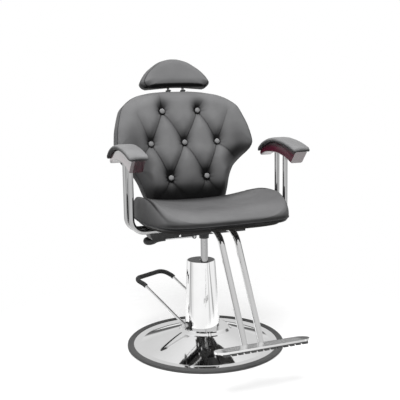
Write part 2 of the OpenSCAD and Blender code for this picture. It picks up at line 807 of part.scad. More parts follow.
module seat_frame() {
    low = post_top_z - flange_h;
    depth = frame_rear - frame_front;
    color([0.12, 0.12, 0.12]) difference() {
        union() {
            translate([-frame_half_w, frame_front, post_top_z]) cube([2 * frame_half_w, depth, frame_t]);
            for (y = [frame_front, frame_rear - frame_t]) translate([-frame_half_w, y, low]) cube([2 * frame_half_w, frame_t, flange_h]);
            for (x = [-rail_x, rail_x]) translate([x - rail_t / 2, 0, 0]) rail();
            translate([0, 0, boss_z]) cylinder(r1 = boss_foot_r, r2 = boss_r, h = post_top_z - boss_z);
            for (a = [0:90:270]) rotate([0, 0, a]) translate([0, -frame_t / 2, post_top_z - flange_h])
                cube([2 * boss_r, frame_t, flange_h]);
            for (y = [-1, 1]) translate([release_x, release_y + y * (release_eye_t + lug_plate_t + over) / 2, release_z])
                release_lug();
        }
        translate([0, 0, boss_z - over]) cylinder(r = post_r + fit, h = post_top_z - boss_z + over);
        for (p = frame_bolt_places) translate([p[0], p[1], low]) cylinder(r = seat_bolt_r + fit, h = flange_h + 2 * frame_t);
        translate([release_x, release_y, release_z]) rotate([90, 0, 0])
            cylinder(r = release_pin_r + fit, h = 4 * release_eye_t, center = true);
    }
}

frame_bolt_places = [for (x = [-bolt_x, bolt_x]) for (y = [bolt_front_y, bolt_rear_y]) [x, y]];

// One cheek that carries the release lever's pin
module release_lug() {
    rotate([90, 0, 0]) cylinder(r = release_eye_r, h = lug_plate_t, center = true);
    translate([-release_eye_r, -lug_plate_t / 2, 0]) cube([2 * release_eye_r, lug_plate_t, post_top_z - release_z]);
}

module seat_pan() {
    shape = curve([for (p = seat_outline_shares) [p[1] * (seat_half_w - pan_inset), p[0] * (seat_l - 2 * pan_inset)]], 44);
    left = [for (i = [len(shape) - 1:-1:0]) [-shape[i][0], shape[i][1]]];
    color("burlywood") difference() {
        translate([0, seat_rear_y - seat_l + pan_inset * 1.5, pan_z]) linear_extrude(pan_t) polygon(concat(shape, left));
        for (p = frame_bolt_places) translate([p[0], p[1], pan_z - over]) cylinder(r = seat_bolt_r + fit, h = seat_bolt_grip + over + rest_gap);
    }
}

// Height of the seat's top over the seat board, for a place sideways and from the front edge
function seat_top(x, y, w) =
    let (
        front_share = max(0, 1 - y / (0.36 * seat_l)),
        roll_fade = 1 - pow(max(0, 1 - y / (0.42 * seat_l)), 1.6) - 0.75 * pow(max(0, y / seat_l - 0.5) * 2, 1.5),
        side = pow(min(1, abs(x) / (0.9 * seat_half_w)), 2.6),
        full = seat_t - seat_fall * pow(front_share, 2) + seat_roll * side * roll_fade,
        edge = min((w - abs(x)) * 1.4, min(y * 1.1, (seat_l - y) * 1.3))
    )
    seat_seam_h + (full - seat_seam_h) * roll_share(edge, seat_edge_r);

module seat_cushion() {
    steps = curve(seat_outline_shares, seat_rows);
    u = [for (k = [-seat_half_cols:seat_half_cols]) sin(90 * k / seat_half_cols)];
    rings = [for (s = steps)
        let (y = min(max(s[0], 0), 1) * seat_l, w = s[1] * seat_half_w, tuck = min(seat_tuck, w / 2))
        concat(
            [[-w + tuck, y, 0]], [for (k = u) [k * w, y, seat_top(k * w, y, w)]], [[w - tuck, y, 0]], [[0, y, 0]]
        )];
    color([0.3, 0.3, 0.31]) translate([0, seat_rear_y - seat_l, cushion_z]) skin(rings);
}

module seat_bolts() {
    color("gray") for (p = frame_bolt_places) translate([p[0], p[1], post_top_z - rest_gap]) {
        cylinder(r = seat_bolt_r, h = pan_z + seat_bolt_grip - post_top_z);
        translate([0, 0, -seat_bolt_head_h]) cylinder(r = seat_bolt_head_r, h = seat_bolt_head_h, $fn = 6);
    }
}

// Housing of the recline lock, under the left arm's tubes
module lock_box() {
    color([0.1, 0.1, 0.1]) translate([0, (arm_front_y + arm_rear_y) / 2 + box_half_l, 0]) rotate([90, 0, 0]) linear_extrude(2 * box_half_l)
        polygon([
            [-box_in, frame_top], [-box_in, frame_top - box_h], [-box_out + box_taper, frame_top - box_h],
            [-box_out + box_taper / 3, frame_top - box_h / 2], [-box_out, frame_top]
        ]);
}

module recline_pins() {
    inner = bracket_in - rest_gap;
    outer = rail_x + rail_t / 2 + rest_gap;
    color("silver") for (m = [0, 1]) mirror([m, 0, 0]) translate([0, pivot_y, pivot_z]) rotate([0, 90, 0]) {
        translate([0, 0, inner]) cylinder(r = pin_r, h = outer - inner);
        translate([0, 0, outer]) cylinder(r = pin_head_r, h = pin_head_t);
        translate([0, 0, inner - pin_head_t]) cylinder(r = pin_head_r, h = pin_head_t);
    }
}

module arm_tube(side, y) {
    rise = armrest_z + armrest_rise * armrest_seat_share + arm_socket - arm_tube_z;
    color("silver") translate([side * arm_inner_x, y, arm_tube_z]) mirror([side < 0 ? 1 : 0, 0, 0]) rotate([0, 90, 0])
        bent_tube([[arm_x - arm_inner_x - arm_bend, 0, arm_bend, 90]], rise - arm_bend, arm_tube_r);
}

function armrest_line(shares) =
    [for (p = curve(shares, armrest_steps)) [armrest_back_y - p[0] * armrest_l, armrest_z + p[1] * armrest_rise]];

// Ring of a rounded section between two points of the arch's side view
function arch_ring(low, top, half_w, r) =
    let (up = unit(top - low), h = norm(top - low), q = min(r, h * 0.4))
    [for (c = [[1, -1], [1, 1], [-1, 1], [-1, -1]]) for (a = [0, 30, 60, 90])
        let (
            turn = c[0] * c[1] < 0 ? 90 - a : a,
            x = c[0] * (half_w - q + q * cos(turn)),
            z = h / 2 + c[1] * (h / 2 - q + q * sin(turn))
        )
        [x, low[0] + up[0] * z, low[1] + up[1] * z]];

module armrest(side) {
    top = armrest_line(armrest_top_shares);
    low = armrest_line(armrest_low_shares);
    rings = [for (i = [0:armrest_steps]) arch_ring(low[i], top[i], armrest_w / 2, armrest_edge)];
    color([0.3, 0.05, 0.08]) difference() {
        translate([side * armrest_mid_x, 0, 0]) skin(rings);
        for (y = [arm_front_y, arm_rear_y]) translate([side * arm_x, y, armrest_z - over])
            cylinder(r = arm_tube_r + fit, h = armrest_rise * armrest_seat_share + arm_socket + over + rest_gap);
    }
}

// Pad that lies on the arch, crowned, with its ends rounded down
module arm_pad(side) {
    top = armrest_line(armrest_top_shares);
    rings = [for (i = [0:armrest_steps])
        let (
            d = min(i, armrest_steps - i) / armrest_steps * armrest_l + 1.5 * pad_overhang,
            e = roll_share(d, pad_end_l),
            w = pad_w / 2 - pad_end_l * (1 - e) * 0.7,
            t = pad_t * (0.45 + 0.55 * e),
            z = top[i][1] + soft_gap,
            y = top[i][0] + (i == 0 ? pad_overhang : i == armrest_steps ? -pad_overhang : 0)
        )
        [for (p = [[0.9, 0], [1, 0.28], [0.97, 0.6], [0.8, 0.86], [0.45, 0.97], [0, 1], [-0.45, 0.97], [-0.8, 0.86], [-0.97, 0.6], [-1, 0.28], [-0.9, 0], [0, 0]])
            [p[0] * w, y, z + p[1] * t]]];
    color([0.4, 0.4, 0.4]) translate([side * armrest_mid_x, 0, 0]) skin(rings);
}

module footrest_tube(side) {
    color("silver") translate([side * foot_tube_x, foot_tube_rear, foot_tube_z]) rotate([90, 0, 0])
        tube_skin([[foot_tube_rear + foot_corner - foot_trim, 90, foot_bend, foot_turn]], foot_leg - foot_trim, foot_tube_r, foot_tube_r - tube_wall);
}

// Footplate frame: its origin is between the lower ends of the tubes
module plate_frame() {
    translate([0, foot_end_y, foot_end_z]) rotate([-plate_tilt, 0, 0]) children();
}

module footrest_plate() {
    top = rest_gap + plate_t;
    color("gainsboro") plate_frame() difference() {
        union() {
            translate([0, -plate_reach, rest_gap]) flat_bar(plate_w, plate_l, plate_t);
            for (k = rib_shares) translate([k * plate_w / 2 - rib_t / 2, -plate_reach - plate_l + 2 * strip_t, rest_gap - rib_h])
                cube([rib_t, plate_l - 3 * strip_t, rib_h + over]);
        }
        for (k = [1:groove_n]) translate([0, -plate_reach - plate_l * k / (groove_n + 1), top + groove_r / 2]) rotate([0, 90, 0])
            cylinder(r = groove_r, h = plate_w - plate_l, center = true);
        for (p = plate_screw_places) translate([p[0], p[1], rest_gap - over]) cylinder(r = plate_screw_r + fit, h = plate_t * 0.6 + over);
    }
}

plate_screw_places = [for (x = [-foot_tube_x, foot_tube_x]) for (k = [0.25, 0.75]) [x, -plate_reach - strap_grip * k]];

// Flat bar with round ends, from zero backward to -l and up to t
module flat_bar(w, l, t) {
    translate([-w / 2 + l / 2, -l, 0]) cube([w - l, l, t]);
    for (x = [-1, 1]) translate([x * (w / 2 - l / 2), -l / 2, 0]) cylinder(r = l / 2, h = t);
}

// Straps under the footplate, each with a collar and a spigot for its tube
module footrest_straps() {
    lean = foot_lean - plate_tilt;
    color("silver") plate_frame() for (x = [-foot_tube_x, foot_tube_x]) translate([x, 0, 0]) difference() {
        union() {
            translate([-strap_w / 2, -plate_reach - strap_grip, -strap_t]) cube([strap_w, plate_reach + strap_grip - strap_rear, strap_t]);
            rotate([-lean, 0, 0]) {
                translate([0, 0, -strap_t]) cylinder(r = foot_tube_r, h = strap_t - rest_gap);
                translate([0, 0, -strap_t]) cylinder(r = foot_tube_r - tube_wall - 2 * fit, h = strap_t + spigot_in);
            }
        }
        for (k = [0.25, 0.75]) translate([0, -plate_reach - strap_grip * k, -strap_t - over]) cylinder(r = plate_screw_r + fit, h = strap_t + 2 * over);
    }
}

// Rubber strip with teeth, under the front edge of the footplate
module footrest_strip() {
    pitch = strip_w / strip_teeth;
    color([0.15, 0.15, 0.15]) plate_frame() translate([-strip_w / 2, -plate_reach - plate_l + over, -strip_h]) difference() {
        cube([strip_w, strip_t, strip_h]);
        for (k = [1:strip_teeth - 1]) translate([k * pitch - pitch / 6, -over, -over]) cube([pitch / 3, strip_t + 2 * over, strip_h - strip_web + over]);
    }
}

module footrest_bolts() {
    head_z = -strap_t - rest_gap - plate_screw_head_h;
    color([0.15, 0.15, 0.15]) plate_frame() for (p = plate_screw_places) translate([p[0], p[1], head_z]) {
        cylinder(r = plate_screw_head_r, h = plate_screw_head_h, $fn = 6);
        cylinder(r = plate_screw_r, h = rest_gap + plate_t / 2 - head_z);
    }
}

module release_pin() {
    half = release_eye_t / 2 + over / 2 + lug_plate_t;
    color("gray") translate([release_x, release_y, release_z]) rotate([90, 0, 0]) {
        cylinder(r = release_pin_r, h = 2 * half, center = true);
        translate([0, 0, half]) cylinder(r = release_pin_r + over, h = over);
    }
}

module release_rod() {
    color("silver") translate([release_x, release_y, release_z]) difference() {
        union() {
            rotate([90, 0, 0]) cylinder(r = release_eye_r, h = release_eye_t, center = true);
            rotate([0, -90, 0]) cylinder(r = release_r, h = release_l + knob_l / 3);
        }
        rotate([90, 0, 0]) cylinder(r = release_pin_r + run, h = 2 * release_eye_t, center = true);
    }
}

// Oval knob with a tapered neck, turned about the rod
knob_shares = [[0, 0.42], [0.22, 0.46], [0.38, 0.6], [0.52, 0.86], [0.68, 1], [0.84, 0.9], [0.95, 0.6], [1, 0]];

module release_knob() {
    shape = curve([for (p = knob_shares) [p[1] * knob_r, p[0] * knob_l]], 28);
    color([0.12, 0.12, 0.12]) translate([release_x - release_l, release_y, release_z]) rotate([0, -90, 0]) difference() {
        rotate_extrude() polygon(concat([[0, 0]], [for (p = shape) [max(0, p[0]), p[1]]]));
        translate([0, 0, -over]) cylinder(r = release_r + fit, h = knob_l / 3 + over + fit);
    }
}

// Backrest frame: x sideways, y backward from the pins' plane, z up the slope
module back_frame() {
    translate([0, pivot_y, pivot_z]) rotate([-back_lean, 0, 0]) children();
}

module back_bracket() {
    color([0.12, 0.12, 0.12]) back_frame() difference() {
        union() {
            translate([bracket_in, 0, 0]) rotate([90, 0, 90]) linear_extrude(bracket_t) union() {
                circle(r = bracket_hub_r);
                polygon([
                    [-bracket_hub_r, 0], [rest_gap, bracket_low / 2], [rest_gap, bracket_high], [bracket_depth / 2, bracket_high],
                    [bracket_depth, bracket_low], [bracket_hub_r, 0]
                ]);
            }
            translate([bracket_in - bracket_flange, rest_gap, bracket_low]) cube([bracket_flange + bracket_t, bracket_t, bracket_high - bracket_low]);
        }
        translate([bracket_in - over, 0, 0]) rotate([0, 90, 0]) cylinder(r = pin_r + run, h = bracket_t + 2 * over);
    }
}

function back_outline(steps, inset) =
    [for (p = curve(back_outline_shares, steps)) [max(0, p[1] * back_half_w - inset), back_low + inset + p[0] * (back_h - 2 * inset)]];

// Share of the wings' shape that the backrest has at s up its height
function wing_share(s) = let (t = max(0, min(1, (s / back_h - 0.3) / 0.17))) t * t * (3 - 2 * t);

module back_board() {
    top = back_h - board_top_inset;
    right = [for (p = curve(back_outline_shares, 60))
        let (s = board_low_inset + p[0] * (top - board_low_inset))
        [max(0, p[1] * back_half_w - board_inset - board_curl_inset * wing_share(s)), back_low + s]];
    left = [for (i = [len(right) - 1:-1:0]) [-right[i][0], right[i][1]]];
    color([0.2, 0.2, 0.2]) back_frame() rotate([90, 0, 0]) linear_extrude(board_t) polygon(concat(right, left));
}

// How far the back cushion's rear stands forward: the wings curl forward and the lower sides fall back
function back_rear(x, s, w) =
    let (q = max(0, 1 - (w - abs(x)) / wrap_w))
    cushion_n + back_curl * wing_share(s) * pow(abs(x) / back_half_w, 3) - back_wrap * (1 - wing_share(s)) * q * q;

function back_side_t(x, s) = back_edge_t + (back_wing_t - back_edge_t) * wing_share(s) * pow(min(1, abs(x) / back_half_w), 2);

// How far its front stands forward at x sideways and s up the height, with the tufts and pleats
function back_front(x, s, w) =
    let (
        edge = min(w - abs(x), min(back_h - s, s)),
        edge_t = back_side_t(x, s),
        full = back_mid_t + lumbar * (1 - pow(2 * s / back_h - 1, 2)),
        here = [x, s],
        tuft = max([for (b = button_shares) bump(norm(here - [b[0] * back_half_w, b[1] * back_h]), tuft_r)]),
        pleat = max([for (l = pleat_shares)
            bump(seg_dist(here, [l[0] * back_half_w, l[1] * back_h], [l[2] * back_half_w, l[3] * back_h]), pleat_r)]),
        share = roll_share(edge, back_roll_r)
    )
    back_rear(x, s, w) + edge_t + (full - edge_t) * share - (tuft_depth * tuft + pleat_depth * pleat * (1 - tuft)) * share;

function button_n(b) = cushion_n + back_mid_t + lumbar * (1 - pow(2 * b[1] - 1, 2)) - tuft_depth;

function back_rear_xs(w, tuck) =
    let (flat = max(w / 2, w - wrap_w), right = [w - tuck, (w - tuck + flat) / 2, flat, w / 4])
    concat(right, [for (i = [3:-1:0]) -right[i]]);

module back_cushion() {
    steps = curve(back_outline_shares, back_rows);
    u = [for (k = [0:back_cols - 1]) let (q = 2 * k / (back_cols - 1) - 1) q * (1.25 - 0.25 * q * q) * back_front_share];
    rings = [for (p = steps)
        let (
            s = min(max(p[0], 0), 1) * back_h,
            w = p[1] * back_half_w,
            tuck = min(back_tuck, w / 3),
            side_n = back_rear(w, s, w),
            thick = back_side_t(w, s)
        )
        concat(
            [for (x = back_rear_xs(w, tuck)) [x, -back_rear(x, s, w), back_low + s]],
            [[-w, -side_n - thick / 2, back_low + s]],
            [for (k = u) [k * w, -back_front(k * w, s, w), back_low + s]],
            [[w, -side_n - thick / 2, back_low + s]]
        )];
    color([0.33, 0.33, 0.34]) back_frame() difference() {
        skin(rings);
        for (x = [-head_rod_x, head_rod_x]) translate([x, -head_rod_n, back_low + back_h - guide_l - soft_gap])
            cylinder(r = head_rod_r + guide_wall + soft_gap, h = guide_l + 2 * over + soft_gap);
        for (b = button_shares) translate([b[0] * back_half_w, -button_n(b), back_low + b[1] * back_h]) rotate([90, 0, 0]) {
            translate([0, 0, -button_sink - soft_gap]) cylinder(r = button_d / 6 + soft_gap, h = button_sink + button_h);
            translate([0, 0, -soft_gap]) cylinder(r = button_d / 2 + soft_gap, h = 2 * tuft_depth);
        }
    }
}

module back_buttons() {
    color([0.5, 0.5, 0.5]) back_frame() for (b = button_shares)
        translate([b[0] * back_half_w, -button_n(b), back_low + b[1] * back_h]) rotate([90, 0, 0]) {
            translate([0, 0, -button_sink]) cylinder(r = button_d / 6, h = button_sink + button_h / 2);
            rotate_extrude() polygon(concat([[0, 0]], [for (a = [0:15:90]) [button_d / 2 * cos(a), button_h / 3 + button_h * 2 / 3 * sin(a)]], [[0, 0]]));
        }
}

module headrest_guides() {
    top = back_low + back_h;
    color([0.15, 0.15, 0.15]) back_frame() for (x = [-head_rod_x, head_rod_x]) translate([x, -head_rod_n, top - guide_l]) difference() {
        union() {
            cylinder(r = head_rod_r + guide_wall, h = guide_l + guide_lip + soft_gap);
            translate([0, 0, guide_l + soft_gap]) cylinder(r = head_rod_r + 2 * guide_wall, h = guide_lip);
        }
        translate([0, 0, -over]) cylinder(r = head_rod_r + run, h = guide_l + guide_lip + 3 * over);
    }
}

module headrest_rods() {
    low = head_low - head_gap - guide_l + over * 6;
    color("silver") back_frame() for (x = [-head_rod_x, head_rod_x]) translate([x, -head_rod_n, low])
        cylinder(r = head_rod_r, h = head_low + head_rod_in - low);
}

module headrest_cushion() {
    steps = curve(head_outline_shares, head_rows);
    u = [for (k = [0:head_cols - 1]) sin(90 * (2 * k / (head_cols - 1) - 1))];
    half_t = head_t / 2;
    rings = [for (p = steps)
        let (s = min(max(p[0], 0), 1) * head_h, w = max(p[1], 0) * head_half_w, tuck = min(head_tuck, w / 3))
        concat(
            [for (k = [w - tuck, 0, tuck - w])
                [k, -head_back_n - 0.35 * half_t * (1 - roll_share(min(s, head_h - s) + head_tuck, head_roll_r)), head_low + s]],
            [for (k = u)
                let (e = roll_share(min(w - abs(k * w), min(s * 1.4, head_h - s)) , head_roll_r))
                [k * w, -head_back_n - half_t * 0.9 - half_t * 1.1 * e, head_low + s]]
        )];
    color([0.33, 0.33, 0.34]) back_frame() difference() {
        skin(rings);
        for (x = [-head_rod_x, head_rod_x]) translate([x, -head_rod_n, head_low - over])
            cylinder(r = head_rod_r + fit, h = head_rod_in + over + soft_gap);
    }
}

base_plate();
floor_plate();
floor_pad();
base_rim();
flange_bolts();
pump_body();
guide_bush();
rod_wiper();
pump_shroud();
shroud_cap();
cap_screw();
lever_brackets();
lever_axle();
lever_crank();
lever_hubs();
lever_rod();
lever_sleeve();
pump_plunger();
piston_head();
piston_seal();
lift_post();
seat_frame();
seat_pan();
seat_cushion();
seat_bolts();
lock_box();
recline_pins();
arm_tube(-1, arm_front_y);  // arm_tube_left_front
arm_tube(-1, arm_rear_y);  // arm_tube_left_rear
arm_tube(1, arm_front_y);  // arm_tube_right_front
arm_tube(1, arm_rear_y);  // arm_tube_right_rear
armrest(-1);  // armrest_left
armrest(1);  // armrest_right
arm_pad(-1);  // arm_pad_left
arm_pad(1);  // arm_pad_right
footrest_tube(-1);  // footrest_tube_left
footrest_tube(1);  // footrest_tube_right
footrest_straps();
footrest_plate();
footrest_strip();
footrest_bolts();
release_pin();
release_rod();
release_knob();
mirror([1, 0, 0]) back_bracket();  // back_bracket_left
back_bracket();  // back_bracket_right
back_board();
back_cushion();
back_buttons();
headrest_guides();
headrest_rods();
headrest_cushion();
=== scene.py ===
import json
import math

import bpy
import numpy as np
from mathutils import Matrix, Vector


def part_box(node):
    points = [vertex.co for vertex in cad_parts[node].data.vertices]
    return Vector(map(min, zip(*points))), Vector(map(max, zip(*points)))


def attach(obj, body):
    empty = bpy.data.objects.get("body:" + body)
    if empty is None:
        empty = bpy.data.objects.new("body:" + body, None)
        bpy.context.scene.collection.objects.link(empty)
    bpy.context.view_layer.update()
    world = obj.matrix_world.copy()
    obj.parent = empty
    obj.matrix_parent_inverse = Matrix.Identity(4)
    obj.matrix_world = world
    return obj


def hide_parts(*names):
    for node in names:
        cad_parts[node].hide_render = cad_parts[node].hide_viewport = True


# The looks of the barber chair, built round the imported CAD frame.
# The shape code counts in millimetres, and MM turns them into metres where a mesh is made.
MM = 0.001
FAR = 1e3

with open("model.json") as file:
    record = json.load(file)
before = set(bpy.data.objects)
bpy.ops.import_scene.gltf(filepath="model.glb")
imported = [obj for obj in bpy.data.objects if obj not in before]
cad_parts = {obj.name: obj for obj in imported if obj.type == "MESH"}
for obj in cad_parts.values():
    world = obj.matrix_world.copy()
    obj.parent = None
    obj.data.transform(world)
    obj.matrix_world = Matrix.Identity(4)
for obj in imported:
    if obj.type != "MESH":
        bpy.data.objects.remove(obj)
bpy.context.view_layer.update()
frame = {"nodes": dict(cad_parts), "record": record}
nodes = frame["nodes"]


# Curves, falls and noise

def spline(points, count):
    """Catmull-Rom curve through the points, in count + 1 samples."""
    p = np.array(points, float)
    last = len(p) - 1
    x = np.arange(count + 1) * last / count
    i = np.minimum(x.astype(int), last - 1)
    t = (x - i)[:, None]
    a, b, c, d = (p[np.clip(i + j, 0, last)] for j in (-1, 0, 1, 2))
    square = 2 * a - 5 * b + 4 * c - d
    cube = 3 * b - a - 3 * c + d
    return 0.5 * (2 * b + (c - a) * t + square * t**2 + cube * t**3)


def width_of(shares, half, length, samples=600):
    """Function from the distance along the length to the half width, from (along, width) shares."""
    q = spline(shares, samples)
    along = np.maximum.accumulate(np.clip(q[:, 0], 0, 1)) * length
    return lambda s: np.interp(s, along, np.maximum(q[:, 1], 0) * half)


def outline_of(shares, half, length, count):
    """Line of (across, along) points from the foot of an outline to the middle of its top."""
    return [(u * half, v * length) for v, u in spline(shares, count)] + [(0.0, length)]


def mirrored(line):
    """A line of points on the +x side, followed by its mirror image back to the start."""
    return line + [(-a, b, c) for a, b, c in line[::-1]]


def crowded(count, strength):
    """Shares from 0 to 1 in count steps, which crowd towards both ends."""
    t = np.linspace(0, 1, count + 1)
    return t - strength * np.sin(2 * math.pi * t) / (2 * math.pi)


def across(count):
    """Places from -1 to 1 in count steps, which crowd towards both sides."""
    return np.sin(np.linspace(-math.pi / 2, math.pi / 2, count + 1))


def roll(d, r):
    """Height of a rolled edge of radius r at distance d from it, as a share."""
    q = 1 - np.clip(d, 0, r) / r
    return np.sqrt(np.maximum(0, 1 - q * q))


def bell(d, r):
    """Normal curve of deviation r, 1 in the middle."""
    return np.exp(-d * d / (2 * r * r))


def fade(d, r, power=2):
    """1 at d = 0, and 1/e at d = r."""
    return np.exp(-(d / r)**power)


def rise(v, start, end):
    """0 up to start, easing to 1 at end."""
    t = np.clip((v - start) / (end - start), 0, 1)
    return t * t * (3 - 2 * t)


def sink(v, start, end):
    """1 up to start, easing to 0 at end."""
    return 1 - rise(v, start, end)


def segment_distance(x, y, a, b):
    """Distance from points to the segment a-b, and how far along it the nearest place is."""
    v = np.array(b, float) - a
    t = np.clip(((x - a[0]) * v[0] + (y - a[1]) * v[1]) / (v @ v), 0, 1)
    return np.hypot(x - a[0] - t * v[0], y - a[1] - t * v[1]), t


def line_distance(x, y, line, counts=None):
    """Least distance from points to the segments of a line, each times its own count."""
    d = np.full_like(x, FAR)
    for a, b, count in zip(line[:-1], line[1:], counts or [1.0] * (len(line) - 1)):
        d = np.minimum(d, segment_distance(x, y, a, b)[0] * count)
    return d


def waves(x, y, z, seed, scale, octaves=3, directions=4):
    """Smooth noise at points, the same on every run."""
    p = np.stack([x, y, z], 1)
    rng = np.random.default_rng(seed)
    out = np.zeros(len(p))
    for k in range(octaves):
        for _ in range(directions):
            direction = rng.normal(size=3)
            direction /= np.linalg.norm(direction)
            phase = rng.uniform(0, 6.28)
            out += np.sin(p @ direction * scale * 1.7**k + phase) / (directions * 1.6**k)
    return out


# Pieces

def place(name, mesh, body):
    """Puts a mesh in the scene as a piece that rides on a body."""
    ob = bpy.data.objects.new(name, mesh)
    bpy.context.scene.collection.objects.link(ob)
    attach(ob, body)
    return ob


def put(ob, slot, *replaced):
    """Hides the CAD nodes that a piece stands for. Its slot is not used."""
    if replaced:
        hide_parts(*replaced)


def smooth_piece(name, verts, faces, body, material):
    mesh = bpy.data.meshes.new(name)
    mesh.from_pydata([tuple(v) for v in verts], [], faces)
    mesh.validate()
    mesh.update()
    mesh.materials.append(material)
    mesh.polygons.foreach_set("use_smooth", [True] * len(mesh.polygons))
    return place(name, mesh, body)


def ring_faces(m, n, closed=False):
    """Quads between m rings of n points, and from the last ring to the first if closed."""
    return [
        (i * n + j, i * n + (j + 1) % n, (i + 1) % m * n + (j + 1) % n, (i + 1) % m * n + j)
        for i in range(m if closed else m - 1) for j in range(n)
    ]


def end_faces(m, n):
    """Flat faces over the first and the last of m rings of n points."""
    return [tuple(range(n - 1, -1, -1)), tuple((m - 1) * n + j for j in range(n))]


def ring_skin(name, rings, body, material, painted_shades=None):
    """Closed skin over rings, with a fan over each end.

    The last argument gives the painted shade at each point, from 0 to 1, and leather darkens by it.
    """
    m, n = len(rings), len(rings[0])
    verts = np.vstack([*rings, rings[0].mean(0), rings[-1].mean(0)])
    faces = ring_faces(m, n)
    faces += [(m * n, (j + 1) % n, j) for j in range(n)]
    faces += [(m * n + 1, (m - 1) * n + j, (m - 1) * n + (j + 1) % n) for j in range(n)]
    ob = smooth_piece(name, verts, faces, body, material)
    values = np.zeros(len(ob.data.vertices), np.float32)
    if painted_shades is not None:
        values[: m * n] = np.concatenate(painted_shades)
        values[m * n:] = painted_shades[0].mean(), painted_shades[-1].mean()
    ob.data.attributes.new("painted_shade", "FLOAT", "POINT").data.foreach_set("value", values)
    return ob


def cover(name, rings, painted_shades, body, slot, node):
    """Padded leather cover that stands for a CAD cushion."""
    ob = ring_skin(name, rings, body, LOOKS[slot], painted_shades)
    put(ob, slot, node)


def welt(name, points, radius, body, closed=True, sides=10):
    """Round leather welt along a line of points."""
    leaning = (0.31, 0.17, 0.93)
    p = np.array(points, float)
    n = len(p)
    a = (np.arange(sides) * 2 * math.pi / sides)[:, None]
    rings = []
    for k in range(n):
        before, after = ((k - 1) % n, (k + 1) % n) if closed else (max(k - 1, 0), min(k + 1, n - 1))
        t = p[after] - p[before]
        t /= np.linalg.norm(t)
        u = np.cross(t, leaning)
        u /= np.linalg.norm(u)
        rings.append(p[k] + radius * (np.cos(a) * u + np.sin(a) * np.cross(t, u)))
    faces = ring_faces(n, sides, closed)
    if not closed:
        faces += end_faces(n, sides)
    put(smooth_piece(name, np.concatenate(rings), faces, body, LOOKS["welt"]), "upholstery")


def turned(name, profile, origin, up, body, material, steps=40):
    """Turned piece: profile is (radius, height) pairs, turned about up through origin."""
    turn = Vector(up).normalized().to_track_quat("Z", "Y").to_matrix()
    verts = []
    for r, h in profile:
        for k in range(steps):
            a = 2 * math.pi * k / steps
            verts.append(Vector(origin) + turn @ Vector((r * math.cos(a), r * math.sin(a), h)))
    m = len(profile)
    faces = ring_faces(m, steps) + end_faces(m, steps)
    return smooth_piece(name, verts, faces, body, material)


# Materials

class Tree:
    """Short calls to make and link the nodes of a shader."""

    def __init__(self, tree):
        self.tree = tree

    def node(self, kind, **settings):
        made = self.tree.nodes.new(kind)
        for key, value in settings.items():
            setattr(made, key, value)
        return made

    def feed(self, value, socket):
        """Links an output to a socket, or sets the socket to a number or an RGB colour."""
        if isinstance(value, bpy.types.NodeSocket):
            self.tree.links.new(value, socket)
        else:
            socket.default_value = (*value, 1) if isinstance(value, tuple) else value

    def maths(self, operation, a, b):
        made = self.node("ShaderNodeMath", operation=operation)
        self.feed(a, made.inputs[0])
        self.feed(b, made.inputs[1])
        return made.outputs["Value"]

    def ramp(self, value, stops):
        """Colours along a value; each stop is a place and a grey or an RGB colour."""
        made = self.node("ShaderNodeValToRGB")
        elements = made.color_ramp.elements
        while len(elements) < len(stops):
            elements.new(0.5)
        for item, (position, colour) in zip(elements, stops):
            item.position = position
            item.color = (*colour, 1) if isinstance(colour, tuple) else (colour, colour, colour, 1)
        self.feed(value, made.inputs["Fac"])
        return made.outputs["Color"]

    def mix(self, factor, a, b):
        """Colour a where the factor is 0, and b where it is 1."""
        made = self.node("ShaderNodeMix", data_type="RGBA")
        for value, socket in ((factor, "Factor"), (a, "A"), (b, "B")):
            self.feed(value, made.inputs[socket])
        return made.outputs["Result"]

    def choose(self, factor, a, b):
        """Shader a where the factor is 0, and b where it is 1."""
        made = self.node("ShaderNodeMixShader")
        for value, socket in zip((factor, a, b), made.inputs):
            self.feed(value, socket)
        return made.outputs["Shader"]


